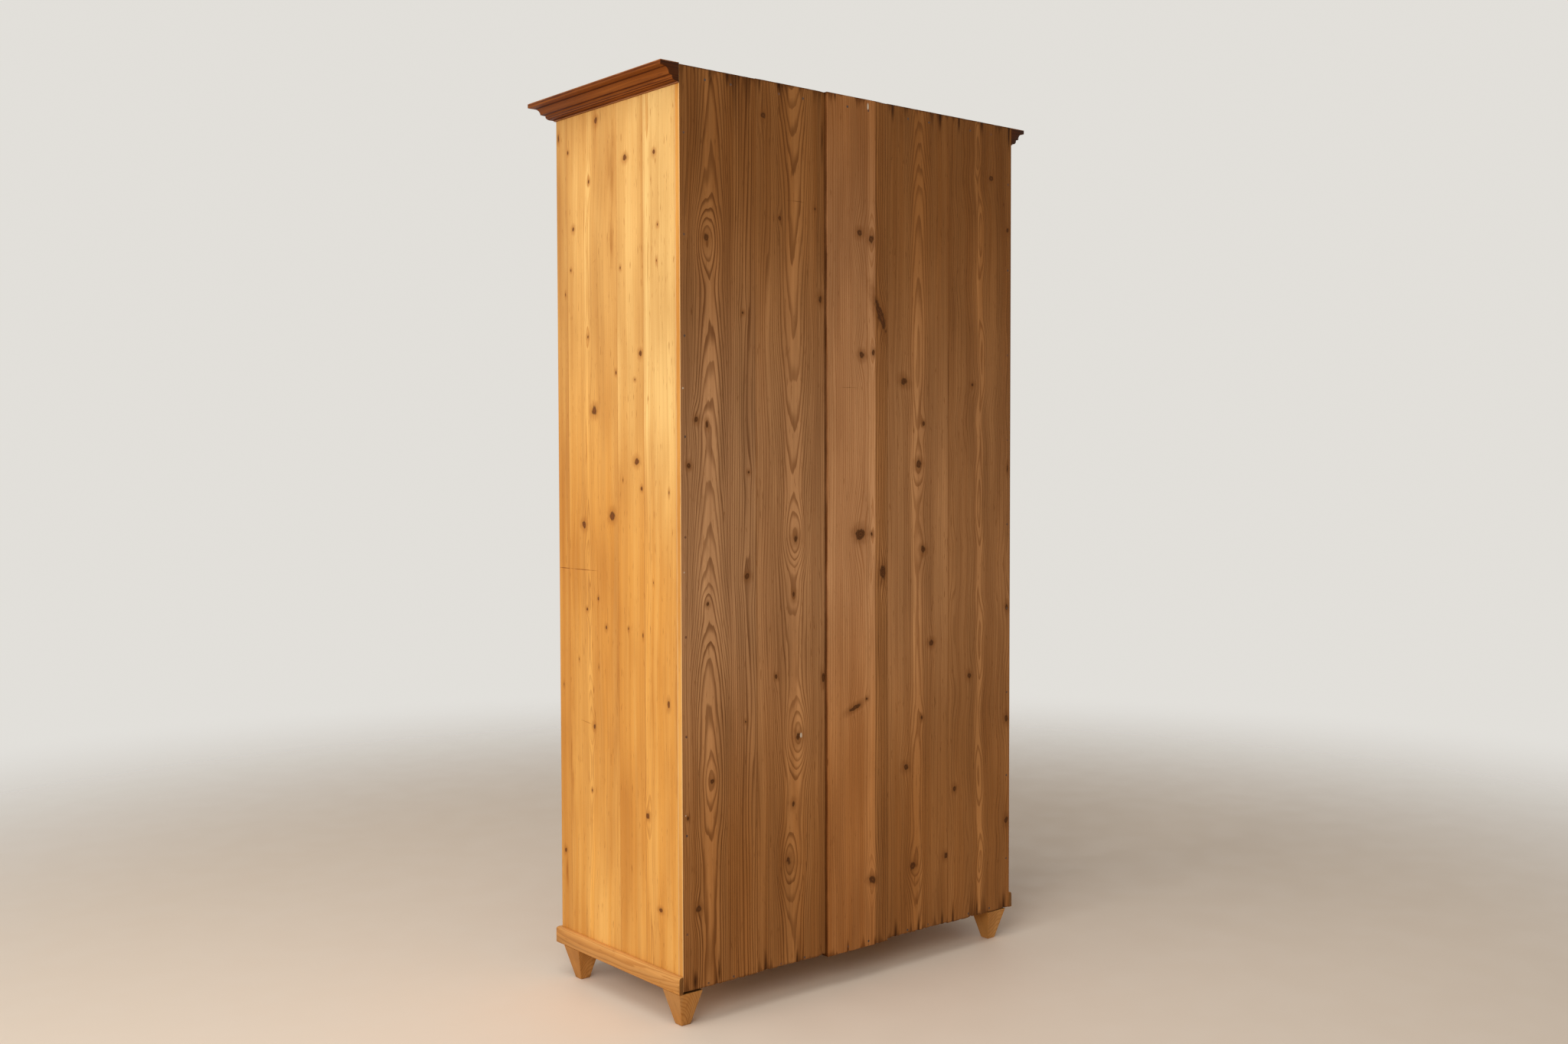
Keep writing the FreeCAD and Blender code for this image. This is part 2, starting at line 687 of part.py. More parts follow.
def make_stile(sign, label, fittings):
    """An upright of the door, grooved for the panels and mortised for the rails."""
    whole = (DOOR_LOW, DOOR_TOP)
    stile = block(mirrored(sign, STILE_INSIDE, DOOR_SIDE), (FRONT, DOOR_BACK), whole)
    cuts = [block(mirrored(sign, STILE_INSIDE, f"{STILE_INSIDE} + groove_depth"), GROOVE, whole)]
    mortise = mirrored(sign, STILE_INSIDE, f"{STILE_INSIDE} + tenon_length")
    for low, high in DOOR_RAILS.values():
        cuts.append(block(mortise, GROOVE, (f"{low} + tenon_shoulder", f"{high} - tenon_shoulder")))
    worked(label, [stile], cuts + fittings)


def make_door(hinge_screws, lock_screws):
    make_stile(1, "door_lock_stile", keyhole(FRONT, DOOR_BACK) + [lock_screws])
    make_stile(-1, "door_hinge_stile", leaf_rooms(1) + [hinge_screws])
    across = (f"-{STILE_INSIDE}", STILE_INSIDE)
    haunch = (f"-{STILE_INSIDE} - groove_depth", f"{STILE_INSIDE} + groove_depth")
    tenon = (f"-{STILE_INSIDE} - tenon_length", f"{STILE_INSIDE} + tenon_length")
    for label, (low, high) in DOOR_RAILS.items():
        solids = [
            block(across, (FRONT, DOOR_BACK), (low, high)),
            block(haunch, GROOVE, (low, high)),
            block(tenon, GROOVE, (f"{low} + tenon_shoulder", f"{high} - tenon_shoulder")),
        ]
        grooves = []
        if label != "door_bottom_rail":
            grooves.append(block(haunch, GROOVE, (low, f"{low} + groove_depth")))
        if label != "door_top_rail":
            grooves.append(block(haunch, GROOVE, (f"{high} - groove_depth", high)))
        worked(label, solids, grooves)
    bottom, lock, top = DOOR_RAILS.values()
    fielded_panel("door_lower_panel", across, (bottom[1], lock[0]))
    fielded_panel("door_upper_panel", across, (lock[1], top[0]))


def knuckle_side(sign, z):
    """One side's half of a hinge without its pin or bore: leaf, barrel and finial."""
    low = z if sign > 0 else f"{z} - hinge_half"
    high = f"{z} + hinge_half" if sign > 0 else f"{z} - leaf_clear"
    across = leaf_span(sign, "leaf_clear")
    leaf = block(across, (FRONT, LEAF_BACK), around(z, "(2 * hinge_half)"))
    neck = block(across, (f"({HINGE_Y} + {FRONT} - barrel_clear) / 2", FRONT), (low, high))
    barrel = rod("barrel_radius", f"{high} - ({low})", (HINGE_X, HINGE_Y, low))
    finial = bind(doc.addObject("Part::Sphere", "Finial"), Radius="finial_radius")
    finial_z = f"{high} + finial_radius / 2" if sign > 0 else f"{low} - finial_radius / 2"
    place(finial, HINGE_X, HINGE_Y, finial_z)
    return joined([leaf, neck, barrel, finial])


def make_hinges():
    """Two lift-off hinges: the pin stands in the frame's knuckle and the door's knuckle drops over it."""
    screws = {}
    for side, sign in (("frame", -1), ("door", 1)):
        halves = []
        fixings = []
        head = f"{HINGE_X} + {shifted(sign, 'leaf_clear')}"
        middle = f"({FRONT} + {LEAF_BACK}) / 2"
        for z in HINGE_HEIGHTS:
            own = []
            for step in (-1, 0, 1):
                at = (head, middle, f"{z} + {step} * screw_pitch")
                own.append(screw(at, "+X" if sign > 0 else "-X"))
            fixings += own
            if sign > 0:
                bore = rod("pin_radius + pin_fit", "pin_rise + pin_head_room", (HINGE_X, HINGE_Y, z))
                halves.append(cut_away(knuckle_side(sign, z), own + [bore]))
            else:
                pin = rod("pin_radius", "hinge_half + pin_rise", (HINGE_X, HINGE_Y, f"{z} - hinge_half"))
                halves.append(joined([cut_away(knuckle_side(sign, z), own), pin]))
        finish(grouped(halves), f"hinge_{side}_leaves")
        screws[side] = finish(grouped(fixings), f"hinge_{side}_screws")
    return screws


def keyhole(start, end):
    """A round hole for the key's shank with a slot below it for the bit."""
    hole = rod("key_shank_radius + key_clear", f"{end} - ({start})", (KEY_X, start, LOCK_Z), "+Y")
    slot_low = f"{LOCK_Z} - key_bit_length - key_clear"
    slot = block(around(KEY_X, "(key_bit_thick + 2 * key_clear)"), (start, end), (slot_low, LOCK_Z))
    return [hole, slot]


def strike_bed():
    """The strike plate's place in the edge of the door stop."""
    upright = around(f"({BOLT_Z[0]} + {BOLT_Z[1]}) / 2", "strike_tall")
    return block((STOP_EDGE, f"{STOP_EDGE} + strike_thick"), (FRAME_BACK, STOP_BACK), upright)


def bolt_way(x):
    """A hole that the bolt passes, a little wider than the bolt."""
    deep = (f"{BOLT_Y[0]} - bolt_clear", f"{BOLT_Y[1]} + bolt_clear")
    tall = (f"{BOLT_Z[0]} - bolt_clear", f"{BOLT_Z[1]} + bolt_clear")
    return block(x, deep, tall)


def strike_rooms():
    return [strike_bed(), bolt_way((STOP_EDGE, f"{STOP_EDGE} + bolt_throw + lock_gap"))]


# Middles of the lock's screws, as shares of its width.
LOCK_SCREW_SHARES = (0.2, 0.8)


def make_lock():
    across = (f"{LOCK_EDGE} - lock_width", LOCK_EDGE)
    tall = around(LOCK_Z, "lock_tall")
    case = block(across, (DOOR_BACK, LOCK_BACK), tall)
    ear_tall = around(LOCK_Z, "(lock_tall + 2 * lock_ear)")
    ears = block(across, (DOOR_BACK, f"{DOOR_BACK} + lock_wall"), ear_tall)
    hollow_across = (f"{across[0]} + lock_wall", f"{across[1]} - lock_wall")
    hollow_tall = around(LOCK_Z, "(lock_tall - 2 * lock_wall)")
    hollow = block(hollow_across, (DOOR_BACK, f"{LOCK_BACK} - lock_wall"), hollow_tall)
    mouth = bolt_way((f"{LOCK_EDGE} - 2 * lock_wall", LOCK_EDGE))
    screws = []
    for share in LOCK_SCREW_SHARES:
        for height in around(LOCK_Z, "(lock_tall + lock_ear)"):
            at = (f"{LOCK_EDGE} - {share} * lock_width", f"{DOOR_BACK} + lock_wall", height)
            screws.append(screw(at, "-Y"))
    worked("lock_case", [case, ears], [hollow, mouth] + screws)
    worked("lock_bolt", [block((f"{LOCK_EDGE} - bolt_length", LOCK_EDGE), BOLT_Y, BOLT_Z)])
    worked("strike_plate", [strike_bed()], [bolt_way((STOP_EDGE, f"{STOP_EDGE} + strike_thick"))])
    return finish(grouped(screws), "lock_screws")


def make_key():
    tip = f"{LOCK_BACK} - 2 * lock_wall"
    start = f"{FRONT} - key_out"
    collar_start = f"{FRONT} - key_collar_out - key_collar_length"
    shank = rod("key_shank_radius", f"{tip} - ({start})", (KEY_X, start, LOCK_Z), "+Y")
    collar = rod("key_collar_radius", "key_collar_length", (KEY_X, collar_start, LOCK_Z), "+Y")
    bit = block(around(KEY_X, "key_bit_thick"), BOLT_Y, (f"{LOCK_Z} - key_bit_length", LOCK_Z))
    bow = bind(doc.addObject("Part::Torus", "Bow"), Radius1="key_bow_radius", Radius2="key_bow_wire")
    turned(bow, "+X", (KEY_X, f"{start} - key_bow_radius", LOCK_Z))
    worked("key", [shank, collar, bit, bow])


def make_escutcheon():
    """The plate round the keyhole, with half-round ends."""
    body = doc.addObject("PartDesign::Body", "escutcheon_plate")
    place(body, KEY_X, FRONT, f"{LOCK_Z} - key_bit_length / 2")
    wide = "escutcheon_width / 2"
    straight = "(escutcheon_height / 2 - escutcheon_width / 2)"
    end = "escutcheon_height / 2"
    corners = [
        (f"-{wide}", f"-{straight}"),
        ("0", f"-{end}"),
        (wide, f"-{straight}"),
        (wide, straight),
        ("0", end),
        (f"-{wide}", straight),
    ]
    edge = outline(body, "XZ_Plane", corners, {quarter: (wide, 1) for quarter in (0, 1, 3, 4)})
    pad(body, edge, "escutcheon_thick")
    worked("escutcheon", [body], keyhole(f"{FRONT} - escutcheon_thick", FRONT))


def make_inside():
    deep = (f"{POST_BACK} + shelf_clear", BACK_INSIDE)
    whole = (f"-{SIDE_INSIDE}", SIDE_INSIDE)
    worked("hat_shelf", [block(whole, deep, ("shelf_height", "shelf_height + shelf_thick"))])
    for sign, side in ((1, "right"), (-1, "left")):
        across = mirrored(sign, f"{SIDE_INSIDE} - cleat_thick", SIDE_INSIDE)
        worked(f"shelf_cleat_{side}", [block(across, deep, ("shelf_height - cleat_height", "shelf_height"))])
    rail = block(whole, (f"{BACK_INSIDE} - peg_rail_thick", BACK_INSIDE), around(PEG_Z, "peg_rail_width"))
    pegs = []
    holes = []
    for step in range(PEG_COUNT):
        x = f"({step} / {PEG_COUNT - 1} - 0.5) * 2 * ({SIDE_INSIDE} - peg_side_room)"
        pegs.append(peg(x))
        holes.append(rod("peg_radius + fit_clear", "peg_rail_thick", (x, BACK_INSIDE, PEG_Z), "-Y"))
    worked("peg_rail", [rail], holes)
    finish(grouped(pegs), "coat_pegs")


def peg(x):
    """A turned peg: a round tenon in the rail, a slim shank and a rounded head."""
    body = doc.addObject("PartDesign::Body", "Peg")
    place(body, x, BACK_INSIDE, PEG_Z)
    reach = "peg_rail_thick + peg_length"
    half = outline(body, "XY_Plane", [
        ("0", "0"),
        ("peg_radius", "0"),
        ("peg_radius", "-peg_rail_thick"),
        ("peg_neck_radius", f"peg_head_length - ({reach})"),
        ("peg_head_radius", f"peg_head_length / 2 - ({reach})"),
        ("0", f"-({reach})"),
    ], {4: ("peg_head_round", -1)})
    turning = body.newObject("PartDesign::Revolution", "Turning")
    turning.Profile = half
    turning.ReferenceAxis = (half, ["V_Axis"])
    turning.Angle = 360
    return body


def check_and_export():
    doc.recompute()
    failed = [thing.Label for thing in doc.Objects if "Invalid" in thing.State or "Error" in thing.State]
    for label, thing in finished.items():
        if thing.Shape.isNull() or not thing.Shape.isValid() or not thing.Shape.Solids:
            failed.append(label)
    if failed:
        raise RuntimeError(f"these pieces failed: {failed}")
    os.makedirs("parts", exist_ok=True)
    for label, thing in finished.items():
        thing.Shape.exportStep(f"parts/{label}.step")
    print(f"{len(finished)} pieces written")


fill_sheet()
nails = make_nails()
make_back(nails)
make_carcass(nails)
make_feet()
make_mouldings()
hinge_screws = make_hinges()
lock_screws = make_lock()
make_front_frame(hinge_screws["frame"])
make_door(hinge_screws["door"], lock_screws)
make_key()
make_escutcheon()
make_inside()
check_and_export()
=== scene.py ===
import json
import math
import random
from collections import namedtuple

import bmesh
import bpy
from mathutils import Euler, Matrix, Vector, noise


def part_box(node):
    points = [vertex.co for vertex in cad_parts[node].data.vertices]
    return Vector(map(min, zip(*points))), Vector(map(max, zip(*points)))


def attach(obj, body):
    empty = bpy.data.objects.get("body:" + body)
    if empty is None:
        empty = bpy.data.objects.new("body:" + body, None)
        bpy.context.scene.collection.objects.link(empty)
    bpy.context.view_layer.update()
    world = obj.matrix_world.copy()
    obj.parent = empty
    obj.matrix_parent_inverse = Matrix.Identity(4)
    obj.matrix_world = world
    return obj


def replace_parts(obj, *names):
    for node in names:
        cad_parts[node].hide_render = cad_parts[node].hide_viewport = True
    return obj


bl_info = {
    "name": "Pine wardrobe",
    "version": (1, 0, 0),
    "blender": (4, 5, 0),
    "location": "View3D > Sidebar > Wardrobe",
    "description": "Dresses a pine wardrobe: worn boards, mouldings, a panelled door and its fittings",
    "category": "Object",
}

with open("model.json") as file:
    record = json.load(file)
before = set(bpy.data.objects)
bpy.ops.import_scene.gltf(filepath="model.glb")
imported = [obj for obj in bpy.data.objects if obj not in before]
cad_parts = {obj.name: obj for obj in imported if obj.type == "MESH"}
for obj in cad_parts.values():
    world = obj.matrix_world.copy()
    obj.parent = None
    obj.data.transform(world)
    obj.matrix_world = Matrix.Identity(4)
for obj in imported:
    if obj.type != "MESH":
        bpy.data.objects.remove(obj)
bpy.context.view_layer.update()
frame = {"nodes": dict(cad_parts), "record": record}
MM = 0.001
X, Y, Z = 0, 1, 2


def length(name, description, default):
    return bpy.props.FloatProperty(
        name=name, description=description, default=default, min=0, precision=4, unit="LENGTH")


def share(name, description, default):
    return bpy.props.FloatProperty(
        name=name, description=description, default=default, min=0, max=1, subtype="FACTOR")


def power(name, description, default):
    return bpy.props.FloatProperty(
        name=name, description=description, default=default, min=0, unit="POWER")


def colour(name, description, default):
    return bpy.props.FloatVectorProperty(
        name=name, description=description, default=default, min=0, max=1, size=3, subtype="COLOR")


class WardrobeSizes(bpy.types.PropertyGroup):
    board_edge: length("Board edge", "Rounding along the edges of loose boards and mouldings", 0.0011)
    seam_edge: length("Seam edge", "Rounding where two boards are glued edge to edge", 0.0004)
    metal_edge: length("Metal edge", "Rounding along the edges of the fittings", 0.0004)
    ragged_end: length("Ragged end", "How unevenly the back boards are sawn off", 0.0011)
    ragged_step: length("Ragged step", "Distance between the steps of a ragged end", 0.005)
    chip_rise: length("Chip rise", "How far splinters have broken out above a sawn end", 0.006)
    open_joint: length("Open joint", "Rounding of the two edges along the open joint of the back", 0.0022)
    pin_head: length("Pin head", "Radius of the pins that hold the escutcheon", 0.0019)


class WardrobeColours(bpy.types.PropertyGroup):
    honey_light: colour("Honey light", "Early wood of the waxed pine", (0.74, 0.36, 0.084))
    honey_dark: colour("Honey dark", "Late wood of the waxed pine", (0.38, 0.125, 0.017))
    honey_warm: colour("Honey warm", "Tint of broad bands in the waxed pine", (0.93, 0.80, 0.55))
    tan_light: colour("Tan light", "Early wood of the feet and base moulding", (0.69, 0.345, 0.105))
    aged_light: colour("Aged light", "Early wood of the back boards", (0.475, 0.205, 0.062))
    aged_dark: colour("Aged dark", "Late wood of the back boards", (0.19, 0.066, 0.015))
    aged_warm: colour("Aged warm", "Tint of broad bands in the back boards", (0.78, 0.66, 0.48))
    orange_light: colour("Orange light", "Early wood of the centre back board", (0.45, 0.185, 0.055))
    orange_dark: colour("Orange dark", "Late wood of the centre back board", (0.19, 0.063, 0.014))
    orange_warm: colour("Orange warm", "Tint of broad bands in the centre back board", (0.88, 0.78, 0.62))
    cornice_light: colour("Cornice light", "Early wood under the cornice's varnish", (0.255, 0.072, 0.010))
    cornice_dark: colour("Cornice dark", "Late wood under the cornice's varnish", (0.10, 0.024, 0.003))
    cornice_warm: colour("Cornice warm", "Tint of broad bands in the cornice", (0.78, 0.66, 0.5))
    cornice_worn: colour("Cornice worn", "Cornice edges without varnish", (0.36, 0.16, 0.075))
    raw_light: colour("Raw light", "Early wood of the unfinished inside", (0.62, 0.40, 0.20))
    raw_dark: colour("Raw dark", "Late wood of the unfinished inside", (0.40, 0.22, 0.09))
    raw_warm: colour("Raw warm", "Tint of broad bands in the unfinished inside", (0.90, 0.82, 0.68))
    knot: colour("Knot", "Heart of a knot", (0.14, 0.047, 0.012))
    knot_rim: colour("Knot rim", "Bark ring round a knot", (0.036, 0.012, 0.003))
    amber_knot: colour("Amber knot", "Heart of a knot in waxed pine", (0.22, 0.060, 0.008))
    amber_rim: colour("Amber rim", "Ring round a knot in waxed pine", (0.055, 0.013, 0.002))
    grime: colour("Grime", "Old stains at the board ends", (0.045, 0.019, 0.006))
    pale_edge: colour("Pale edge", "Fresh wood where an edge has worn", (0.74, 0.46, 0.20))
    # Painted sheen: a pale colour mixed over the middle of the back in place of a reflection.
    dust: colour("Dust", "Painted sheen over the middle of the back", (0.64, 0.56, 0.41))
    # Painted sheen: a pale golden colour mixed in high up on the sides in place of a reflection.
    bleach: colour("Side sheen", "Painted golden sheen high up on the sides", (0.94, 0.76, 0.34))
    speck: colour("Speck", "Old filler over a few nails", (0.56, 0.44, 0.32))
    iron: colour("Iron", "Blackened iron of the hinges and lock", (0.085, 0.076, 0.070))
    rust: colour("Rust", "Rust on the iron", (0.21, 0.085, 0.035))
    brass: colour("Brass", "Aged brass of the escutcheon and key", (0.62, 0.43, 0.17))
    tarnish: colour("Tarnish", "Tarnish in the brass", (0.20, 0.13, 0.055))
    floor: colour("Floor", "Plain pale floor", (0.84, 0.70, 0.56))
    backdrop: colour("Backdrop", "Plain pale background", (0.76, 0.74, 0.70))


class WardrobeStudio(bpy.types.PropertyGroup):
    sky: share("Sky", "Strength of the even light from all round", 0.29)
    window: power("Window", "Power of the large soft lamp beside the wardrobe", 37.0)
    fill: power("Fill", "Power of the soft lamp beside the camera", 68.0)
    ceiling: power("Ceiling", "Power of the wide lamp overhead", 62.0)
    floor_reach: length("Floor reach", "Distance at which the floor has faded out", 4.2)


# Nodes


class Wiring:
    """Puts nodes into one node tree and joins their sockets."""

    def __init__(self, tree):
        self.tree = tree

    def add(self, kind, inputs=None, **settings):
        node = self.tree.nodes.new(kind)
        for name, value in settings.items():
            setattr(node, name, value)
        for socket, value in (inputs or {}).items():
            self.feed(node.inputs[socket], value)
        return node

    def feed(self, socket, value):
        if isinstance(value, bpy.types.NodeSocket):
            self.tree.links.new(value, socket)
        else:
            socket.default_value = value

    def group(self, maker, inputs):
        """Places the node group that a maker builds."""
        return self.add("ShaderNodeGroup", inputs, node_tree=shared(maker))

    def math(self, operation, *values):
        return self.add("ShaderNodeMath", dict(enumerate(values)), operation=operation).outputs[0]

    def plus(self, first, second):
        return self.math("ADD", first, second)

    def minus(self, first, second):
        return self.math("SUBTRACT", first, second)

    def times(self, first, second):
        return self.math("MULTIPLY", first, second)

    def times_plus(self, first, second, third):
        return self.math("MULTIPLY_ADD", first, second, third)

    def over(self, first, second):
        return self.math("DIVIDE", first, second)

    def smooth(self, value, low, high, to_low=0.0, to_high=1.0):
        """Eases from one value to another while the input passes from low to high."""
        span = {"Value": value, "From Min": low, "From Max": high, "To Min": to_low, "To Max": to_high}
        return self.add("ShaderNodeMapRange", span, interpolation_type="SMOOTHSTEP").outputs[0]

    def noise(self, x, y, z, detail=2.0):
        place = self.add("ShaderNodeCombineXYZ", {0: x, 1: y, 2: z}).outputs[0]
        inputs = {"Vector": place, "Scale": 1.0, "Detail": detail}
        return self.add("ShaderNodeTexNoise", inputs).outputs["Fac"]

    def streaks(self, across, along, seed, fine, long, detail=2.0):
        """Noise that is drawn out along the grain."""
        return self.noise(self.times(across, fine), self.times(along, long), seed, detail)

    def mix(self, factor, first, second, blend="MIX"):
        inputs = {0: factor, 6: first, 7: second}
        return self.add("ShaderNodeMix", inputs, data_type="RGBA", blend_type=blend).outputs[2]


def new_group(name, inputs, outputs):
    """A node group with named sockets, its wiring, its inputs and its outputs."""
    tree = bpy.data.node_groups.new(name, "ShaderNodeTree")
    for label, kind in inputs.items():
        tree.interface.new_socket(label, in_out="INPUT", socket_type=f"NodeSocket{kind}")
    for label, kind in outputs.items():
        tree.interface.new_socket(label, in_out="OUTPUT", socket_type=f"NodeSocket{kind}")
    wiring = Wiring(tree)
    source = wiring.add("NodeGroupInput").outputs
    sink = wiring.add("NodeGroupOutput").inputs
    return wiring, source, sink


def floats(*names):
    return dict.fromkeys(names, "Float")


def colours(*names):
    return dict.fromkeys(names, "Color")


# Sockets of the node groups that are fed from a figure, from the rings and from the board's edges.
FIGURE_INPUTS = ("Heart", "Buried", "Ring", "Wander", "Pace", "Straight", "Seed")
RING_OUTPUTS = ("Late", "Fibre", "Band", "Core")
EDGE_OUTPUTS = ("Side", "End")
# Sockets that are fed with a finish's colours and with its other values.
FINISH_TINTS = {"Light": "light", "Dark": "dark", "Warm": "warm", "Knot Heart": "knot", "Knot Rim": "rim",
                "Edge": "edge", "Dust": "bloom"}
FINISH_INPUTS = ("Contrast", "Glow", "Deepen", "Banding", "Grime Reach", "Grime Share", "Edge Reach", "Matt")
# Distance between the straight lines away from the heart, in millimetres.
STRAIGHT_SPACING = 6.5
# How far a knot bends the grain beside it and along it, in knot radii, and how strongly.
BEND_WIDTH, BEND_LENGTH, BEND_SHARE = 2.9, 7.0, 0.6
# Dark and pale rings in the heart of a knot, as radians to a knot radius.
WHORL_RATE = 17.0
# Height over which the painted sheen comes and goes, and heights between which a board's painted shade
# changes, in millimetres.
SHEEN_FADE = 600.0
FOOT_FADE = (100.0, 750.0)
TOP_FADE = (950.0, 1890.0)
# How far a face has to turn before it counts as looking along or across the grain.
TURNED_AWAY = (0.6, 0.9)


def growth_rings():
    """Cut through the rings of a trunk whose heart lies under the board. The rings climb along the board, so
    that they meet its face in a chain of arches. Places are in millimetres."""
    names = ("Across", "Along", "Depth", "Climb", "Lift", *FIGURE_INPUTS)
    w, given, out = new_group("Growth rings", floats(*names), floats(*RING_OUTPUTS))
    across, along, seed = given["Across"], given["Along"], given["Seed"]
    buried, ring = given["Buried"], given["Ring"]

    def swing(value, reach):
        return w.times(w.minus(value, 0.5), reach)

    sway = swing(w.streaks(across, along, seed, 0.004, given["Pace"], 1.0), given["Wander"])
    ripple = swing(w.streaks(across, along, w.plus(seed, 7.3), 0.05, 0.006), 1.3)
    off = w.plus(w.minus(across, given["Heart"]), sway)
    under = w.plus(buried, given["Depth"])
    radius = w.math("SQRT", w.plus(w.times(off, off), w.times(under, under)))
    first = w.math("SQRT", w.times(w.times(buried, ring), 2.0))
    beside = w.over(w.math("ABSOLUTE", off), first)
    years = w.plus(w.over(radius, ring), w.minus(given["Climb"], given["Lift"]))
    uneven = swing(w.noise(w.times(years, 0.22), 0.0, seed, 1.0), 3.0)
    years = w.plus(w.plus(years, ripple), uneven)
    lean = swing(w.streaks(across, along, w.plus(seed, 11.3), 0.03, 0.0011), 5.0)
    upright = w.plus(w.over(off, STRAIGHT_SPACING), lean)

    def late_wood(count, least):
        season = w.math("FRACT", count)
        line = w.times(w.smooth(season, 0.40, 0.84), w.smooth(season, 0.92, 1.0, 1.0, 0.0))
        year = w.plus(w.math("FLOOR", count), seed)
        hard = w.add("ShaderNodeTexWhiteNoise", {"W": year}, noise_dimensions="1D").outputs["Value"]
        return w.times(line, w.times_plus(hard, 1.0 - least, least))

    far = w.times(w.smooth(beside, 1.7, 3.0), given["Straight"])
    arches = w.times(late_wood(years, 0.6), w.minus(1.0, far))
    w.feed(out["Late"], w.times_plus(late_wood(upright, 0.25), far, arches))
    w.feed(out["Core"], w.smooth(beside, 0.6, 1.5, 1.0, 0.0))
    w.feed(out["Fibre"], swing(w.streaks(off, along, w.plus(seed, 3.7), 0.16, 0.003, 4.0), 1.0))
    w.feed(out["Band"], w.streaks(off, along, w.plus(seed, 21.9), 0.05, 0.0011))
    return w.tree


def knot_bend():
    """Bends the grain and lifts the rings round a knot, and keeps the distance to the nearest knot, in knot
    radii."""
    names = ("Place", "Across", "Along", "Nearest", "Lift", "Knot Across", "Knot Along", "Radius", "Stretch",
             "Turn", "Faint", "Swirl")
    w, given, out = new_group("Knot bend", floats(*names), floats("Across", "Nearest", "Lift"))
    radius = given["Radius"]
    beside = w.minus(given["Place"], given["Knot Across"])
    above = w.minus(given["Along"], given["Knot Along"])
    away = w.add("ShaderNodeCombineXYZ", {0: beside, 1: above}).outputs[0]
    swing = {"Vector": away, "Angle": given["Turn"]}
    turned = w.add("ShaderNodeVectorRotate", swing, rotation_type="Z_AXIS").outputs[0]
    side, end = w.add("ShaderNodeSeparateXYZ", {0: turned}).outputs[:2]

    def squares(first, second):
        return w.plus(w.times(first, first), w.times(second, second))

    reach = squares(w.over(side, radius), w.over(end, w.times(radius, given["Stretch"])))
    near = w.math("SQRT", reach)
    flow = squares(w.over(beside, w.times(radius, BEND_WIDTH)), w.over(above, w.times(radius, BEND_LENGTH)))
    pull = w.math("EXPONENT", w.times(flow, -1.0))
    bend = w.times(beside, w.times(pull, BEND_SHARE))
    w.feed(out["Across"], w.minus(given["Across"], bend))
    w.feed(out["Nearest"], w.math("MINIMUM", given["Nearest"], w.plus(near, given["Faint"])))
    w.feed(out["Lift"], w.times_plus(pull, given["Swirl"], given["Lift"]))
    return w.tree


def board_edges():
    """Distances in millimetres to a board's nearest long edge and nearest end."""
    names = ("Across", "Along", "Middle Across", "Half Across", "Middle Along", "Half Along")
    w, given, out = new_group("Board edges", floats(*names), floats(*EDGE_OUTPUTS))
    for label, way in zip(EDGE_OUTPUTS, ("Across", "Along")):
        off = w.math("ABSOLUTE", w.minus(given[way], given[f"Middle {way}"]))
        w.feed(out[label], w.minus(given[f"Half {way}"], off))
    return w.tree


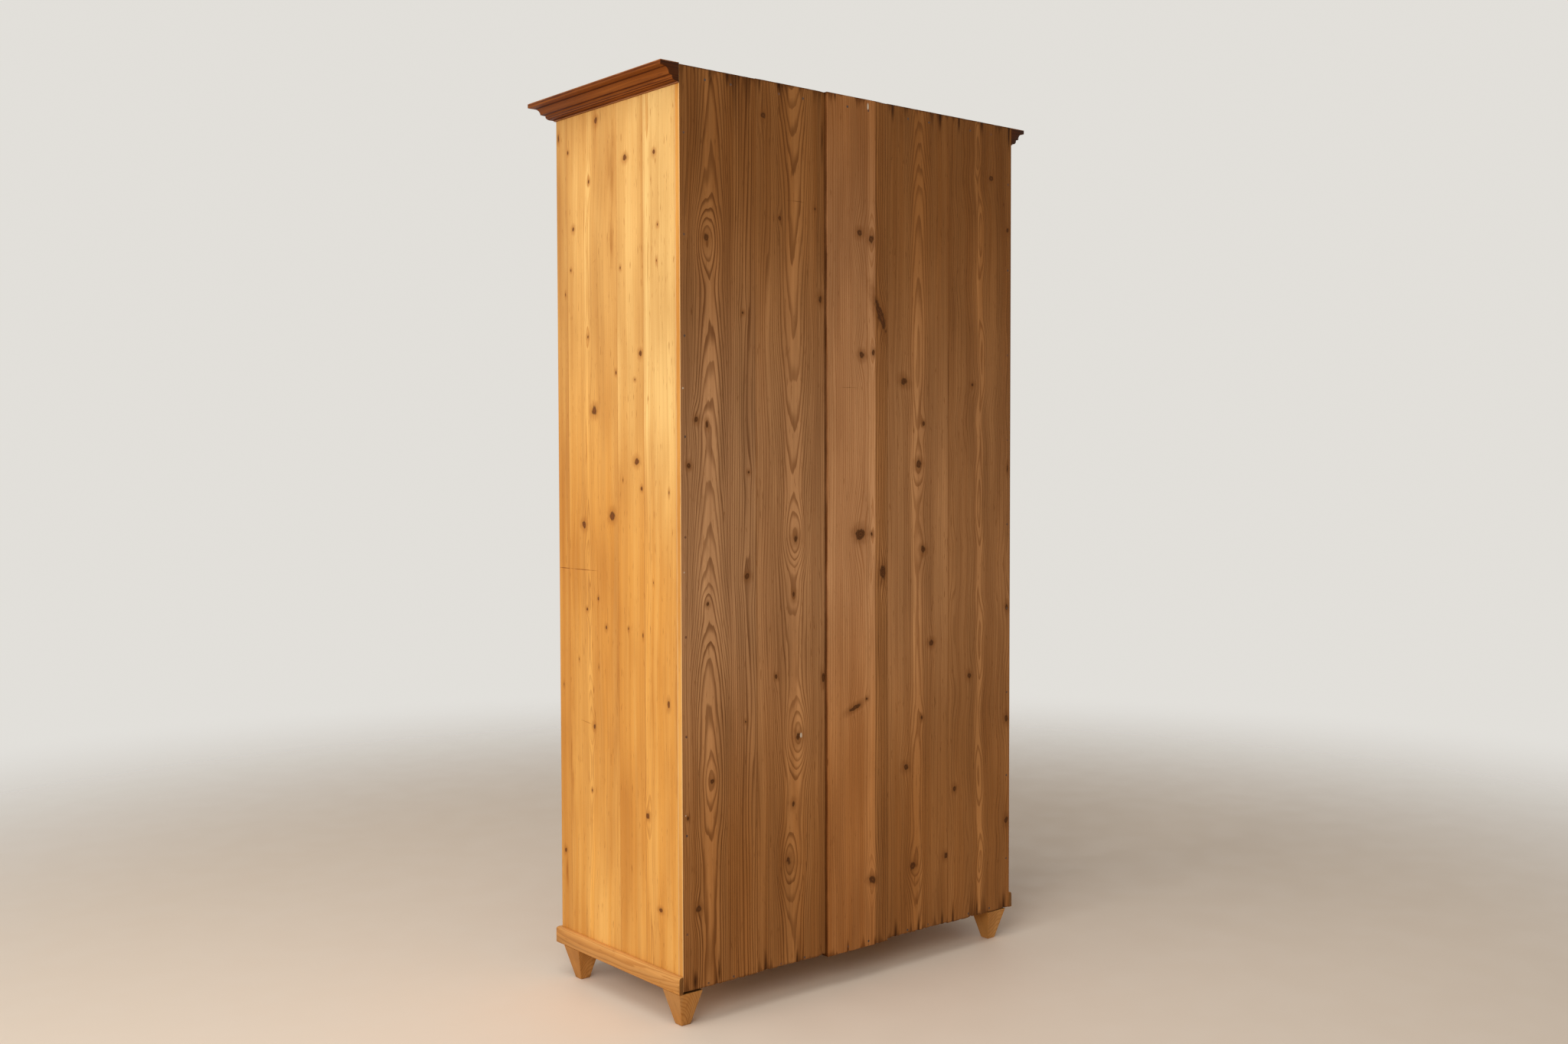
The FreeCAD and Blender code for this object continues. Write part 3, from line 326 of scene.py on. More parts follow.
def pine_surface():
    """Colour, roughness and height of sawn pine from its rings, knots, stains and edges, with painted shade
    and painted sheen.
    """
    places = floats("Across", "Along", *RING_OUTPUTS, "Knot", "Stain", "Speck", *EDGE_OUTPUTS, "End Face",
                    "Seed")
    tints = colours(*FINISH_TINTS, "Grime", "Speck Colour")
    shares = floats(*FINISH_INPUTS, "Edge Share", "Foot Shade", "Shade", "Top Shade", "Dust Low",
                    "Dust High", "Dust Share")
    w, given, out = new_group("Pine surface", {**places, **tints, **shares},
                              {**colours("Color"), **floats("Roughness", "Height")})
    along, late, fibre, contrast = (given[name] for name in ("Along", "Late", "Fibre", "Contrast"))

    def layer(shift, fine, long, detail=2.0):
        """Streaks of the board's own, apart from those of every other layer."""
        return w.streaks(given["Across"], along, w.plus(given["Seed"], shift), fine, long, detail)

    # Early and late wood, broad bands, painted sheen and flecks
    wood = w.mix(w.times(late, contrast), given["Light"], given["Dark"])
    band = w.times(w.smooth(given["Band"], 0.38, 0.62), given["Banding"])
    wood = w.mix(band, wood, given["Warm"], "MULTIPLY")
    # Painted sheen: a pale colour mixed in between two heights, less over the late wood, that stands in for
    # a reflection.
    rise = w.smooth(w.minus(along, given["Dust Low"]), 0.0, SHEEN_FADE)
    fall = w.smooth(w.minus(along, given["Dust High"]), 0.0, SHEEN_FADE, 1.0, 0.0)
    bloom = w.times(w.times(rise, fall), w.times_plus(late, -0.7, 1.0))
    wood = w.mix(w.times(bloom, given["Dust Share"]), wood, given["Dust"])
    fleck = layer(43.9, 0.33, 0.030)
    wood = w.mix(w.smooth(fleck, 0.63, 0.75, 0.0, 0.60), wood, given["Dark"])

    # Shades that darken the wood, more in blue than in red, painted shade towards the foot and the top among
    # them
    cloud = layer(31.7, 0.014, 0.003)
    stripe = layer(37.1, 0.03, 0.0008, 4.0)
    stain = w.plus(w.minus(layer(19.0, 0.07, 0.012, 3.0), 0.5), given["Stain"])
    drip = w.smooth(layer(41.3, 0.05, 0.002, 4.0), 0.50, 0.78)
    reach = w.times(given["Grime Reach"], w.plus(drip, 0.03))
    worn_end = w.smooth(w.over(given["End"], reach), -0.3, 1.0, 1.0, 0.0)
    tone = w.times_plus(fibre, w.times(contrast, 0.55), w.smooth(cloud, 0.30, 0.70, 0.90, 1.09))
    for shade in (
        w.smooth(stripe, 0.34, 0.66, 0.92, 1.06),
        w.times_plus(given["Core"], given["Glow"], 0.98),
        # Painted shade that eases towards a board's foot and towards its top.
        w.smooth(along, *FOOT_FADE, given["Foot Shade"], given["Shade"]),
        w.smooth(along, *TOP_FADE, 1.0, given["Top Shade"]),
        w.smooth(given["End Face"], *TURNED_AWAY, 1.0, 0.62),
        w.smooth(stain, 0.1, 1.3, 0.22, 1.0),
        w.minus(1.0, w.times(worn_end, given["Grime Share"])),
    ):
        tone = w.times(tone, shade)
    green = w.math("POWER", tone, w.plus(given["Deepen"], 1.0))
    blue = w.math("POWER", tone, w.times_plus(given["Deepen"], 2.2, 1.0))
    deep = w.add("ShaderNodeCombineColor", {0: tone, 1: green, 2: blue}).outputs[0]
    wood = w.mix(1.0, wood, deep, "MULTIPLY")
    wood = w.mix(w.smooth(given["End Face"], *TURNED_AWAY, 0.0, 0.4), wood, given["Grime"])

    # Knots, with a dark ring and a halo
    lump = w.minus(layer(17.0, 0.11, 0.08, 1.0), 0.5)
    knot = w.times_plus(lump, 1.3, given["Knot"])
    whorl = w.math("SINE", w.times(knot, WHORL_RATE))
    heart = w.mix(w.smooth(whorl, -1.0, 1.0, 0.0, 0.75), given["Knot Heart"], given["Knot Rim"])
    wood = w.mix(w.smooth(knot, 0.8, 3.2, 0.55, 0.0), wood, given["Dark"])
    wood = w.mix(w.smooth(knot, 0.55, 1.05, 0.92, 0.0), wood, heart)
    rim = w.times(w.smooth(knot, 0.45, 0.75), w.smooth(knot, 0.8, 1.25, 0.6, 0.0))
    wood = w.mix(rim, wood, given["Knot Rim"])

    # Worn edges and filled nails
    nick = w.times(layer(53.0, 0.3, 0.025, 3.0), 2.0)
    edge = w.over(given["Side"], w.times(given["Edge Reach"], nick))
    worn_edge = w.times(w.smooth(edge, 0.3, 1.0, 1.0, 0.0), given["Edge Share"])
    wood = w.mix(worn_edge, wood, given["Edge"])
    wood = w.mix(w.smooth(given["Speck"], 0.8, 1.1, 1.0, 0.0), wood, given["Speck Colour"])
    w.feed(out["Color"], wood)

    # Gloss and relief
    matt = w.times_plus(fibre, 0.25, given["Matt"])
    w.feed(out["Roughness"], w.times_plus(late, -0.08, matt))
    height = w.times_plus(late, 0.5, w.times(fibre, 0.9))
    w.feed(out["Height"], w.minus(height, w.smooth(knot, 0.75, 1.05, 0.5, 0.0)))
    return w.tree


def metal_patina():
    """Mottled colour, roughness and dents of an old metal fitting."""
    inputs = {**colours("Clean", "Dull"), **floats("Share", "Polish", "Seed")}
    outputs = {**colours("Color"), **floats("Roughness", "Metallic", "Height")}
    w, given, out = new_group("Metal patina", inputs, outputs)
    place = w.add("ShaderNodeTexCoord").outputs["Object"]
    shift = w.add("ShaderNodeCombineXYZ", {0: given["Seed"]}).outputs[0]
    shifted = w.add("ShaderNodeVectorMath", {0: place, 1: shift}, operation="ADD").outputs[0]
    coarse = w.add("ShaderNodeTexNoise", {"Vector": shifted, "Scale": 95.0, "Detail": 5.0}).outputs["Fac"]
    fine = w.add("ShaderNodeTexNoise", {"Vector": shifted, "Scale": 900.0, "Detail": 3.0}).outputs["Fac"]
    dull = w.times(w.smooth(coarse, 0.40, 0.64), given["Share"])
    w.feed(out["Color"], w.mix(w.times_plus(fine, 0.25, dull), given["Clean"], given["Dull"]))
    w.feed(out["Roughness"], w.times_plus(dull, 0.35, w.times_plus(fine, 0.2, given["Polish"])))
    w.feed(out["Metallic"], w.minus(1.0, w.times(dull, 0.75)))
    w.feed(out["Height"], w.times_plus(coarse, 0.7, w.times(fine, 0.3)))
    return w.tree


GROUPS = {}


def shared(maker):
    """The node group that a maker builds, built once."""
    if maker not in GROUPS:
        GROUPS[maker] = maker()
    return GROUPS[maker]


def fresh_material(name):
    material = bpy.data.materials.new(name)
    material.use_nodes = True
    material.node_tree.nodes.clear()
    wiring = Wiring(material.node_tree)
    shader = wiring.add("ShaderNodeBsdfPrincipled")
    wiring.add("ShaderNodeOutputMaterial", {"Surface": shader.outputs[0]})
    return material, wiring, shader


# Which object axis runs across the grain, along it and into the wood.
Grain = namedtuple("Grain", "across along depth")
FACING_BACK = Grain(X, Z, Y)
FACING_SIDE = Grain(Y, Z, X)
RAIL = Grain(Z, X, Y)
LEVEL = Grain(Y, X, Z)
SIDE_RUN = Grain(Z, Y, X)
TURNED = Grain(X, Y, Z)

# Place of the trunk's heart across the board and how deep it lies under the face, then how the rings climb
# along the board, as places along it with a count of rings: where the count rises the arches point that way.
# Then the ring width, how far the grain wanders, the seed, how often the grain wanders and how far straight
# lines take the arches' place away from the heart. Lengths are in millimetres.
Figure = namedtuple("Figure", "heart buried climb ring wander seed pace straight", defaults=(0.002, 0.0))
# A knot, stain or speck: its place across and along, its half width, its length over its width, how pale it
# is, by how many degrees it is turned and how strongly the rings swirl round it.
Mark = namedtuple("Mark", "across along radius stretch faint turn swirl", defaults=(1.3, 0.15, 0.0, 1.0))
# Half width of a knot that lifts the rings by as much as its swirl says.
SWIRL_RADIUS = 4.5
# Distance to a mark where a board has none, in its half widths.
FAR_AWAY = 50.0
# A stretch that takes a mark along the whole of a board.
FULL_LENGTH = 900
Finish = namedtuple(
    "Finish",
    "light dark warm edge knot rim bloom contrast glow deepen banding grime_reach grime_share edge_reach "
    "edge_share dust matt shine coat bump")
# What each finish has after its colours, from contrast to bump.
FINISH_VALUES = {
    "honey_pine": (0.50, 0.08, 0.50, 0.60, 26, 0.25, 2.2, 0.40, 0.0, 0.50, 0.10, 0.02, 0.25),
    "aged_pine": (1.0, 0.18, 0.12, 0.45, 150, 0.58, 2.5, 0.45, 0.12, 0.62, 0.06, 0.0, 0.45),
    "orange_pine": (0.80, 0.20, 0.18, 0.55, 60, 0.65, 2.0, 0.45, 0.15, 0.58, 0.06, 0.0, 0.4),
    "cornice_pine": (0.45, 0.0, 0.30, 0.50, 12, 0.55, 2.2, 0.75, 0.0, 0.50, 0.08, 0.0, 0.35),
    "raw_pine": (0.65, 0.10, 0.20, 0.50, 30, 0.30, 2.0, 0.30, 0.0, 0.66, 0.15, 0.0, 0.4),
}
# Shares of painted shade at a board's foot, in its middle and at its top, where it has none.
EVEN_SHADE = (1.0, 1.0, 1.0)
# Heights at which the painted sheen begins and begins to end, in millimetres.
SHEEN_HEIGHTS = (280.0, 1150.0)
# Depth of the grain and of the dents in metal, in metres, how much the dents show and roughness of the wax.
GRAIN_DEPTH = 0.0008
DENT_DEPTH = 0.0003
DENT_SHARE = 0.3
WAX_ROUGHNESS = 0.3


def finish_of(slot):
    """The finish of one kind of pine, in the colours that are set in the sidebar."""
    tint = bpy.context.scene.wardrobe_colours
    wood = slot.removesuffix("_pine")
    light, dark, warm = (getattr(tint, f"{wood}_{part}") for part in ("light", "dark", "warm"))
    finish = Finish(light, dark, warm, dark, tint.knot, tint.knot_rim, tint.dust, *FINISH_VALUES[slot])
    if wood == "honey":
        return finish._replace(knot=tint.amber_knot, rim=tint.amber_rim, bloom=tint.bleach)
    if wood == "cornice":
        return finish._replace(edge=tint.cornice_worn)
    return finish


def rgba(tint):
    return (*tint, 1.0)


def chain_marks(wiring, marks, across, along):
    """The grain's bent place across, the distance to the nearest of the marks and how far they lift the
    rings."""
    place = across
    nearest = FAR_AWAY
    lift = 0.0
    for values in marks:
        mark = Mark(*values)
        knot = wiring.group(knot_bend, {
            "Place": place, "Across": across, "Along": along, "Nearest": nearest, "Lift": lift,
            "Knot Across": mark.across, "Knot Along": mark.along, "Radius": mark.radius,
            "Stretch": mark.stretch, "Turn": math.radians(mark.turn), "Faint": mark.faint,
            "Swirl": mark.swirl * mark.radius / SWIRL_RADIUS,
        }).outputs
        across, nearest, lift = knot["Across"], knot["Nearest"], knot["Lift"]
    return across, nearest, lift


def climb_along(wiring, figure, along):
    """How far the rings have climbed at each place along a board, drawn as a curve through the figure's
    points."""
    places, counts = zip(*figure.climb)
    start, run = places[0], places[-1] - places[0]
    least, rise = min(counts), max(counts) - min(counts)
    span = {"Value": along, "From Min": start, "From Max": places[-1]}
    passed = wiring.add("ShaderNodeMapRange", span, clamp=True).outputs[0]
    drawn = wiring.add("ShaderNodeFloatCurve", {"Value": passed})
    points = drawn.mapping.curves[0].points
    while len(points) < len(places):
        points.new(0.5, 0.5)
    for point, place, count in zip(points, places, counts):
        point.location = ((place - start) / run, (count - least) / rise)
    drawn.mapping.update()
    return wiring.times(drawn.outputs[0], rise)


def pine(name, finish, grain, figure, box, knots=(), stains=(), specks=(), shade=EVEN_SHADE,
         dust=SHEEN_HEIGHTS):
    """A board's own pine. Its knots, stains and specks are marks on the board's face."""
    material, w, shader = fresh_material(name)
    tint = bpy.context.scene.wardrobe_colours
    low, high = box
    place = w.add("ShaderNodeTexCoord").outputs
    scaled = w.add("ShaderNodeVectorMath", {0: place["Object"], "Scale": 1 / MM}, operation="SCALE")
    spread = w.add("ShaderNodeSeparateXYZ", {0: scaled.outputs[0]}).outputs
    facing = w.add("ShaderNodeSeparateXYZ", {0: place["Normal"]}).outputs
    across, along, depth = (spread[axis] for axis in grain)
    under_face = w.minus(depth, high[grain.depth] / MM)
    bent, knot, lift = chain_marks(w, knots, across, along)
    stain = chain_marks(w, stains, across, along)[1]
    speck = chain_marks(w, specks, across, along)[1]
    rings = w.group(growth_rings, {
        "Across": bent, "Along": along, "Depth": under_face, "Lift": lift,
        "Climb": climb_along(w, figure, along),
        **{label: getattr(figure, label.lower()) for label in FIGURE_INPUTS},
    }).outputs
    edges = w.group(board_edges, {"Across": across, "Along": along})
    for way, axis in (("Across", grain.across), ("Along", grain.along)):
        edges.inputs[f"Middle {way}"].default_value = (low[axis] + high[axis]) / 2 / MM
        edges.inputs[f"Half {way}"].default_value = (high[axis] - low[axis]) / 2 / MM
    looks_across = w.math("ABSOLUTE", facing[grain.across])
    surface = w.group(pine_surface, {
        "Across": w.plus(across, under_face), "Along": along, "Seed": figure.seed,
        "Knot": knot, "Stain": stain, "Speck": speck,
        "End Face": w.math("ABSOLUTE", facing[grain.along]),
        "Edge Share": w.smooth(looks_across, *TURNED_AWAY, finish.edge_share, 0.0),
        # Painted shade at the foot, in the middle and at the top, and painted sheen between the given
        # heights.
        "Foot Shade": shade[0], "Shade": shade[1], "Top Shade": shade[2],
        "Dust Low": dust[0], "Dust High": dust[1], "Dust Share": finish.dust,
        "Grime": rgba(tint.grime), "Speck Colour": rgba(tint.speck),
        **{label: rings[label] for label in RING_OUTPUTS},
        **{label: edges.outputs[label] for label in EDGE_OUTPUTS},
        **{label: rgba(getattr(finish, field)) for label, field in FINISH_TINTS.items()},
        **{label: getattr(finish, label.lower().replace(" ", "_")) for label in FINISH_INPUTS},
    }).outputs
    bump = w.add("ShaderNodeBump", {
        "Strength": finish.bump, "Distance": GRAIN_DEPTH, "Height": surface["Height"]})
    w.feed(shader.inputs["Base Color"], surface["Color"])
    w.feed(shader.inputs["Roughness"], surface["Roughness"])
    w.feed(shader.inputs["Normal"], bump.outputs[0])
    shader.inputs["Specular IOR Level"].default_value = finish.shine
    shader.inputs["Coat Weight"].default_value = finish.coat
    shader.inputs["Coat Roughness"].default_value = WAX_ROUGHNESS
    return material


def metal(name, clean, dull, dullness, polish, seed):
    """Old metal that is mottled with rust or tarnish."""
    material, w, shader = fresh_material(name)
    patina = w.group(metal_patina, {
        "Clean": rgba(clean), "Dull": rgba(dull), "Share": dullness, "Polish": polish, "Seed": seed,
    }).outputs
    bump = w.add("ShaderNodeBump", {
        "Strength": DENT_SHARE, "Distance": DENT_DEPTH, "Height": patina["Height"]})
    for socket, label in (("Base Color", "Color"), ("Roughness", "Roughness"), ("Metallic", "Metallic")):
        w.feed(shader.inputs[socket], patina[label])
    w.feed(shader.inputs["Normal"], bump.outputs[0])
    return material


# Meshes


# Points closer than this are one, when a CAD piece is taken over and when a board is cut.
SAME_POINT = 0.01 * MM
SAME_CUT = 0.001 * MM
# Faces that lie flatter than this become one face.
FLAT_ANGLE = math.radians(0.5)
# Edges that turn more than this are rounded, and edges that turn more than the next stay crisp.
SHARP_ANGLE = math.radians(28)
CRISP_ANGLE = math.radians(38)


def merged_copy(node):
    """A copy of a CAD piece as a closed mesh with whole flat faces."""
    mesh = bmesh.new()
    mesh.from_mesh(frame["nodes"][node].data)
    bmesh.ops.remove_doubles(mesh, verts=mesh.verts, dist=SAME_POINT)
    bmesh.ops.dissolve_limit(mesh, angle_limit=FLAT_ANGLE, verts=mesh.verts, edges=mesh.edges)
    return mesh


def sharp_edges(mesh):
    """Outer edges that turn enough to be rounded."""
    whole = [edge for edge in mesh.edges if edge.is_manifold and edge.is_convex]
    return [edge for edge in whole if edge.calc_face_angle() > SHARP_ANGLE]


def round_edges(mesh, edges, radius):
    if edges:
        bmesh.ops.bevel(mesh, geom=edges, offset=radius, offset_type="OFFSET", affect="EDGES", segments=2,
                        profile=0.5, material=-1, clamp_overlap=True)


def finished(mesh, name, body, materials, smooth=False):
    """Turns a mesh into a piece that rides on a body."""
    data = bpy.data.meshes.new(name)
    for face in mesh.faces:
        face.smooth = smooth
    mesh.to_mesh(data)
    mesh.free()
    if smooth:
        data.set_sharp_from_angle(angle=CRISP_ANGLE)
    for material in materials:
        data.materials.append(material)
    piece = bpy.data.objects.new(name, data)
    bpy.context.scene.collection.objects.link(piece)
    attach(piece, body)
    return piece


BODIES = frame["record"]["behaviour"]["bodies"]
BODY_OF = {node: body for body, nodes in BODIES.items() for node in nodes}
SLOT_OF = {row["node"]: row["material_slot"] for row in frame["record"]["subparts"]}


def stand_for(node, mesh, materials, smooth=False):
    """Finishes a mesh as the piece that is shown in place of a CAD node."""
    piece = finished(mesh, f"dressed_{node}", BODY_OF[node], materials, smooth)
    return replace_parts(piece, node)


# Usual distance between the knots of a board, and between those of a moulding. A cornice has none.
KNOT_SPACING = 420
MOULDING_SPACING = 900
NO_KNOTS = 5000
# How far scattered knots keep from a board's long edges and from its ends, and how large and long they are.
KNOT_MARGIN = 8
END_MARGIN = 20
KNOT_RADII = (2.5, 7.0)
KNOT_STRETCHES = (1.0, 1.6)
# How far outside a board its heart may lie, in widths, and over what length it climbs by one ring. Boards
# narrower than the full width climb less.
HEART_MARGIN = 0.3
CLIMB_LENGTHS = (60, 140)
FULL_WIDTH = 90
# Where along a board its climb turns, and between what the other values of its figure lie.
CLIMB_TURNS = (0.2, 0.8)
BURIED_DEPTHS = (60, 130)
RING_WIDTHS = (1.8, 2.6)
WANDERS = (15, 40)
SEEDS = (0, 90)


def scattered(rng, box, grain, spacing):
    """A few knots on a board whose face isn't in the photograph, at chosen seeds."""
    low, high = (Vector(corner) / MM for corner in box)
    marks = []
    for _ in range(int((high[grain.along] - low[grain.along]) / spacing)):
        across = rng.uniform(low[grain.across] + KNOT_MARGIN, high[grain.across] - KNOT_MARGIN)
        along = rng.uniform(low[grain.along] + END_MARGIN, high[grain.along] - END_MARGIN)
        marks.append((across, along, rng.uniform(*KNOT_RADII), rng.uniform(*KNOT_STRETCHES)))
    return marks


def own_figure(rng, box, grain):
    """A figure for a board whose face isn't in the photograph."""
    low, high = (Vector(corner) / MM for corner in box)
    left, start = low[grain.across], low[grain.along]
    right, end = high[grain.across], high[grain.along]
    margin = HEART_MARGIN * (right - left)
    heart = rng.uniform(left - margin, right + margin)
    rings = (end - start) / rng.uniform(*CLIMB_LENGTHS) * min(1.0, (right - left) / FULL_WIDTH)
    turn = rng.uniform(*CLIMB_TURNS)
    climb = ((start, rings * turn), (start + (end - start) * turn, 0), (end, rings * (1 - turn)))
    buried, ring, wander, seed = (
        rng.uniform(*limits) for limits in (BURIED_DEPTHS, RING_WIDTHS, WANDERS, SEEDS))
    return Figure(heart, buried, climb, ring, wander, seed)


# How much the feet and the base moulding redden where they are dark.
TAN_DEEPEN = 0.15


def plain_board(node, grain, seed, spacing=KNOT_SPACING, smooth=False, stains=(), shade=EVEN_SHADE,
                light=None):
    """Dresses a board with rounded edges and pine of its own."""
    rng = random.Random(seed)
    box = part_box(node)
    mesh = merged_copy(node)
    round_edges(mesh, sharp_edges(mesh), bpy.context.scene.wardrobe_sizes.board_edge)
    finish = finish_of(SLOT_OF[node])
    if light is not None:
        finish = finish._replace(light=light, deepen=TAN_DEEPEN)
    figure = own_figure(rng, box, grain)
    knots = scattered(rng, box, grain, spacing)
    material = pine(f"Pine of {node}", finish, grain, figure, box, knots, stains, (), shade)
    return stand_for(node, mesh, [material], smooth)


def plain_boards(nodes, grain, seed, **looks):
    """Dresses boards that are alike, each from a seed of its own."""
    for step, node in enumerate(nodes):
        plain_board(node, grain, seed + step, **looks)


# Back


# Figures, knots, stains and filled nails of the back boards, counted from the side in the photograph.
BACK_FIGURES = {
    1: Figure(
        400, 110, ((70, 1.1), (310, 0.9), (365, 0.45), (410, -0.25), (480, -0.5), (550, -0.25),
        (620, 0.4), (690, 1.3), (846, 4.6), (1132, 9.0), (1410, 12.6), (1892, 16.8)), 2.0, 40, 1.3, 0.002,
        0.8),
    2: Figure(
        190, 110, ((70, 13.6), (245, 13.0), (405, 12.0), (620, 9.8), (835, 8.8), (1012, 7.0), (1203, 5.0),
        (1360, 3.4), (1582, 2.0), (1724, 1.0), (1892, -1.8)), 2.0, 30, 12.8, 0.002, 0.65),
    3: Figure(-29, 7, ((70, 0.0), (1000, 0.6), (1892, 0.2)), 5.0, 14, 25.1),
    4: Figure(
        -173, 75, ((70, 4.4), (182, 3.0), (250, 1.3), (440, 0.8), (545, 1.6), (690, 2.3), (873, 2.6),
        (1075, 2.0), (1265, 0.0), (1360, -0.4), (1460, 0.0), (1618, 1.0), (1787, 4.0), (1892, 6.4)), 1.8,
        20, 33.6, 0.002, 0.5),
    5: Figure(
        -370, 16, ((70, 1.0), (120, 2.0), (190, 0.0), (290, 1.4), (390, 0.2), (540, 2.2), (700, 0.0),
        (880, 1.6), (1010, 0.0), (1200, 1.4), (1380, 0.2), (1480, 1.6), (1650, 0.0), (1750, 1.4),
        (1800, 0.2), (1892, 1.6)), 3.0, 34, 47.2, 0.006, 0.6),
}
BACK_KNOTS = {
    1: [
        (410, 1560, 9, 1.3, 0.45, 0, 1.8), (435, 1205, 5), (410, 1195, 4, 2), (455, 1115, 5, 1.2, 0.1),
        (305, 1100, 4, 1.2, 0.5), (310, 890, 6, 1.1, 0.2), (410, 840, 4), (315, 595, 3), (400, 485, 5),
        (435, 235, 6.5, 1.2, 0.1), (460, 420, 3, 1.6), (320, 1420, 4, 1.2, 0.45),
    ],
    2: [
        (265, 1820, 6.5, 1.0, 0.1), (222, 1617, 4, 1.2, 0.2), (112, 1460, 8, 1.2, 0.42),
        (104, 665, 5, 2.5, 0.2), (127, 1646, 3.5, 1.2, 0.3), (182, 963, 9, 1.3, 0.45, 0, 1.8),
        (187, 845, 5, 2, 0.5), (235, 680, 4), (175, 548, 10, 1.3, 0.5, 0, 1.8), (190, 410, 6, 1.6, 0.5),
        (202, 292, 10, 1.3, 0.42, 20, 1.8),
    ],
    3: [
        (5, 1607, 8, 0.9, 0.15, 30), (-29, 1597, 7, 1.3, 0.1), (-2, 1348, 7.5, 1.0, 0.1),
        (-35, 1355, 4, 1.6, 0.1), (4, 966, 12, 0.9, 0.0), (-30, 965, 4, 1.4, 0.3),
        (-65, 880, 8.5, 1.6, 0.0), (20, 594, 5, 3.4, 0.1, -68), (-15, 610, 4, 1.0, 0.3),
        (-32, 213, 7, 1.3, 0.0, 60), (-57, 1437, 8.5, 4.2, 0.0, 27),
    ],
    4: [
        (-130, 1297, 8, 1.4, 0.1, 60), (-190, 1205, 4), (-175, 1115, 7.5, 1.2, 0.0),
        (-188, 925, 7, 1.2, 0.1), (-213, 716, 7.5, 0.9, 0.05), (-185, 550, 4), (-135, 446, 8, 1.0, 0.2),
        (-157, 220, 8, 1.0, 0.1), (-262, 227, 6.5, 1.2, 0.15),
    ],
    5: [
        (-405, 1768, 7, 0.9, 0.1, 20), (-345, 1295, 6, 1.0, 0.4), (-337, 631, 6), (-462, 520, 6, 1.5, 0.1),
        (-290, 376, 5.5, 1.2, 0.2), (-463, 780, 5, 2.0, 0.2), (-463, 277, 6, 1.6, 0.2),
        (-464, 1105, 4, 2.5, 0.25), (-462, 1655, 5, 1.6, 0.3),
    ],
}
BACK_STAINS = {
    1: [(400, 1880, 6, 5), (355, 1885, 5, 6), (445, 90, 9, 3), (385, 95, 5, 8)],
    2: [
        (275, 1885, 4, 7), (225, 1888, 7, 3), (265, 80, 6, 7), (180, 80, 5, 6), (97, 950, 3.0, 900, 0.2),
        (106, 1790, 9, 11, 0.6), (286, 640, 1.6, 100, 0.3), (305, 405, 12, 0.18, 0.3, 12),
        (300, 425, 11, 0.18, 0.3, 8), (180, 1656, 34, 0.03, 0.35),
    ],
    3: [
        (75, 1888, 6, 3), (40, 75, 5, 5), (-40, 70, 7, 3), (98, 950, 2.0, 900, 0.0),
        (35, 1278, 40, 0.02, 0.4),
    ],
    4: [
        (-95, 1885, 7, 5), (-240, 1885, 6, 6), (-105, 75, 7, 6), (-175, 78, 5, 7), (-250, 80, 6, 5),
        (-79, 950, 1.6, 900, 0.2), (-267, 1300, 1.6, 65, 0.2),
    ],
    5: [
        (-300, 1885, 5, 7), (-375, 1888, 7, 5), (-465, 1880, 5, 9), (-285, 80, 5, 9), (-365, 82, 5, 8),
        (-455, 80, 8, 6),
    ],
}
BACK_SPECKS = {
    1: [(468, 1265, 2.2, 1), (467, 905, 1.8, 1), (466, 425, 1.6, 1)],
    2: [(168, 551, 4, 1.7, 0.2)],
    3: [(-19, 1876, 4.5, 3.0, 0.4)],
}
# Where the painted sheen begins and begins to end, if not as on the other boards.
BACK_SHEEN = {3: (350.0, 1500.0)}
# How far a back board's colour is darkened at its foot, in its middle and at its top, painted shade together
# with its own tone, its share of painted sheen, how much paler its heart is and how dark its lines are.
BACK_SHADES = {
    1: (0.74, 0.90, 0.605, 0.14, 0.18, 1.0),
    2: (0.70, 0.91, 0.655, 0.11, 0.15, 0.85),
    3: (0.92, 1.19, 0.665, 0.11, 0.20, 0.45),
    4: (0.76, 0.95, 0.54, 0.09, 0.22, 0.70),
    5: (0.79, 0.81, 0.66, 0.07, 0.36, 0.65),
}


# How quickly the saw's slow and fast waves and the splinters change along an end, per metre.
SLOW_WAVE, FAST_WAVE, SPLINTER_WAVE = 55, 190, 120
# Share of the fast wave, how far a foot is cut short on the whole and where splinters begin to break out.
FAST_SHARE, FOOT_RISE, SPLINTER_START = 0.6, 0.4, 0.12
# How much of the waves shows at the top, where they only cut downwards.
TOP_SHARE = 0.35


def ragged_ends(mesh, box, seed):
    """Saws a back board's ends off unevenly and breaks splinters out of their outer edge."""
    sizes = bpy.context.scene.wardrobe_sizes
    low, high = box
    steps = int((high.x - low.x) / sizes.ragged_step)
    for step in range(1, steps):
        cut = Vector((low.x + (high.x - low.x) * step / steps, 0, 0))
        bmesh.ops.bisect_plane(mesh, geom=mesh.verts[:] + mesh.edges[:] + mesh.faces[:], dist=SAME_CUT,
                               plane_co=cut, plane_no=Vector((1, 0, 0)))
    reach = 2 * sizes.board_edge
    for vert in mesh.verts:
        below = vert.co.z < low.z + reach
        above = vert.co.z > high.z - reach
        if not (below or above):
            continue
        slow = noise.noise(Vector((vert.co.x * SLOW_WAVE, seed, 0.0)))
        wave = slow + FAST_SHARE * noise.noise(Vector((vert.co.x * FAST_WAVE, seed, 7)))
        if below:
            vert.co.z += sizes.ragged_end * (wave + FOOT_RISE)
            if vert.co.y > high.y - reach:
                splinter = noise.noise(Vector((vert.co.x * SPLINTER_WAVE, seed, 3.0)))
                vert.co.z += sizes.chip_rise * max(splinter - SPLINTER_START, 0)
        else:
            vert.co.z += min(TOP_SHARE * sizes.ragged_end * wave, 0.0)


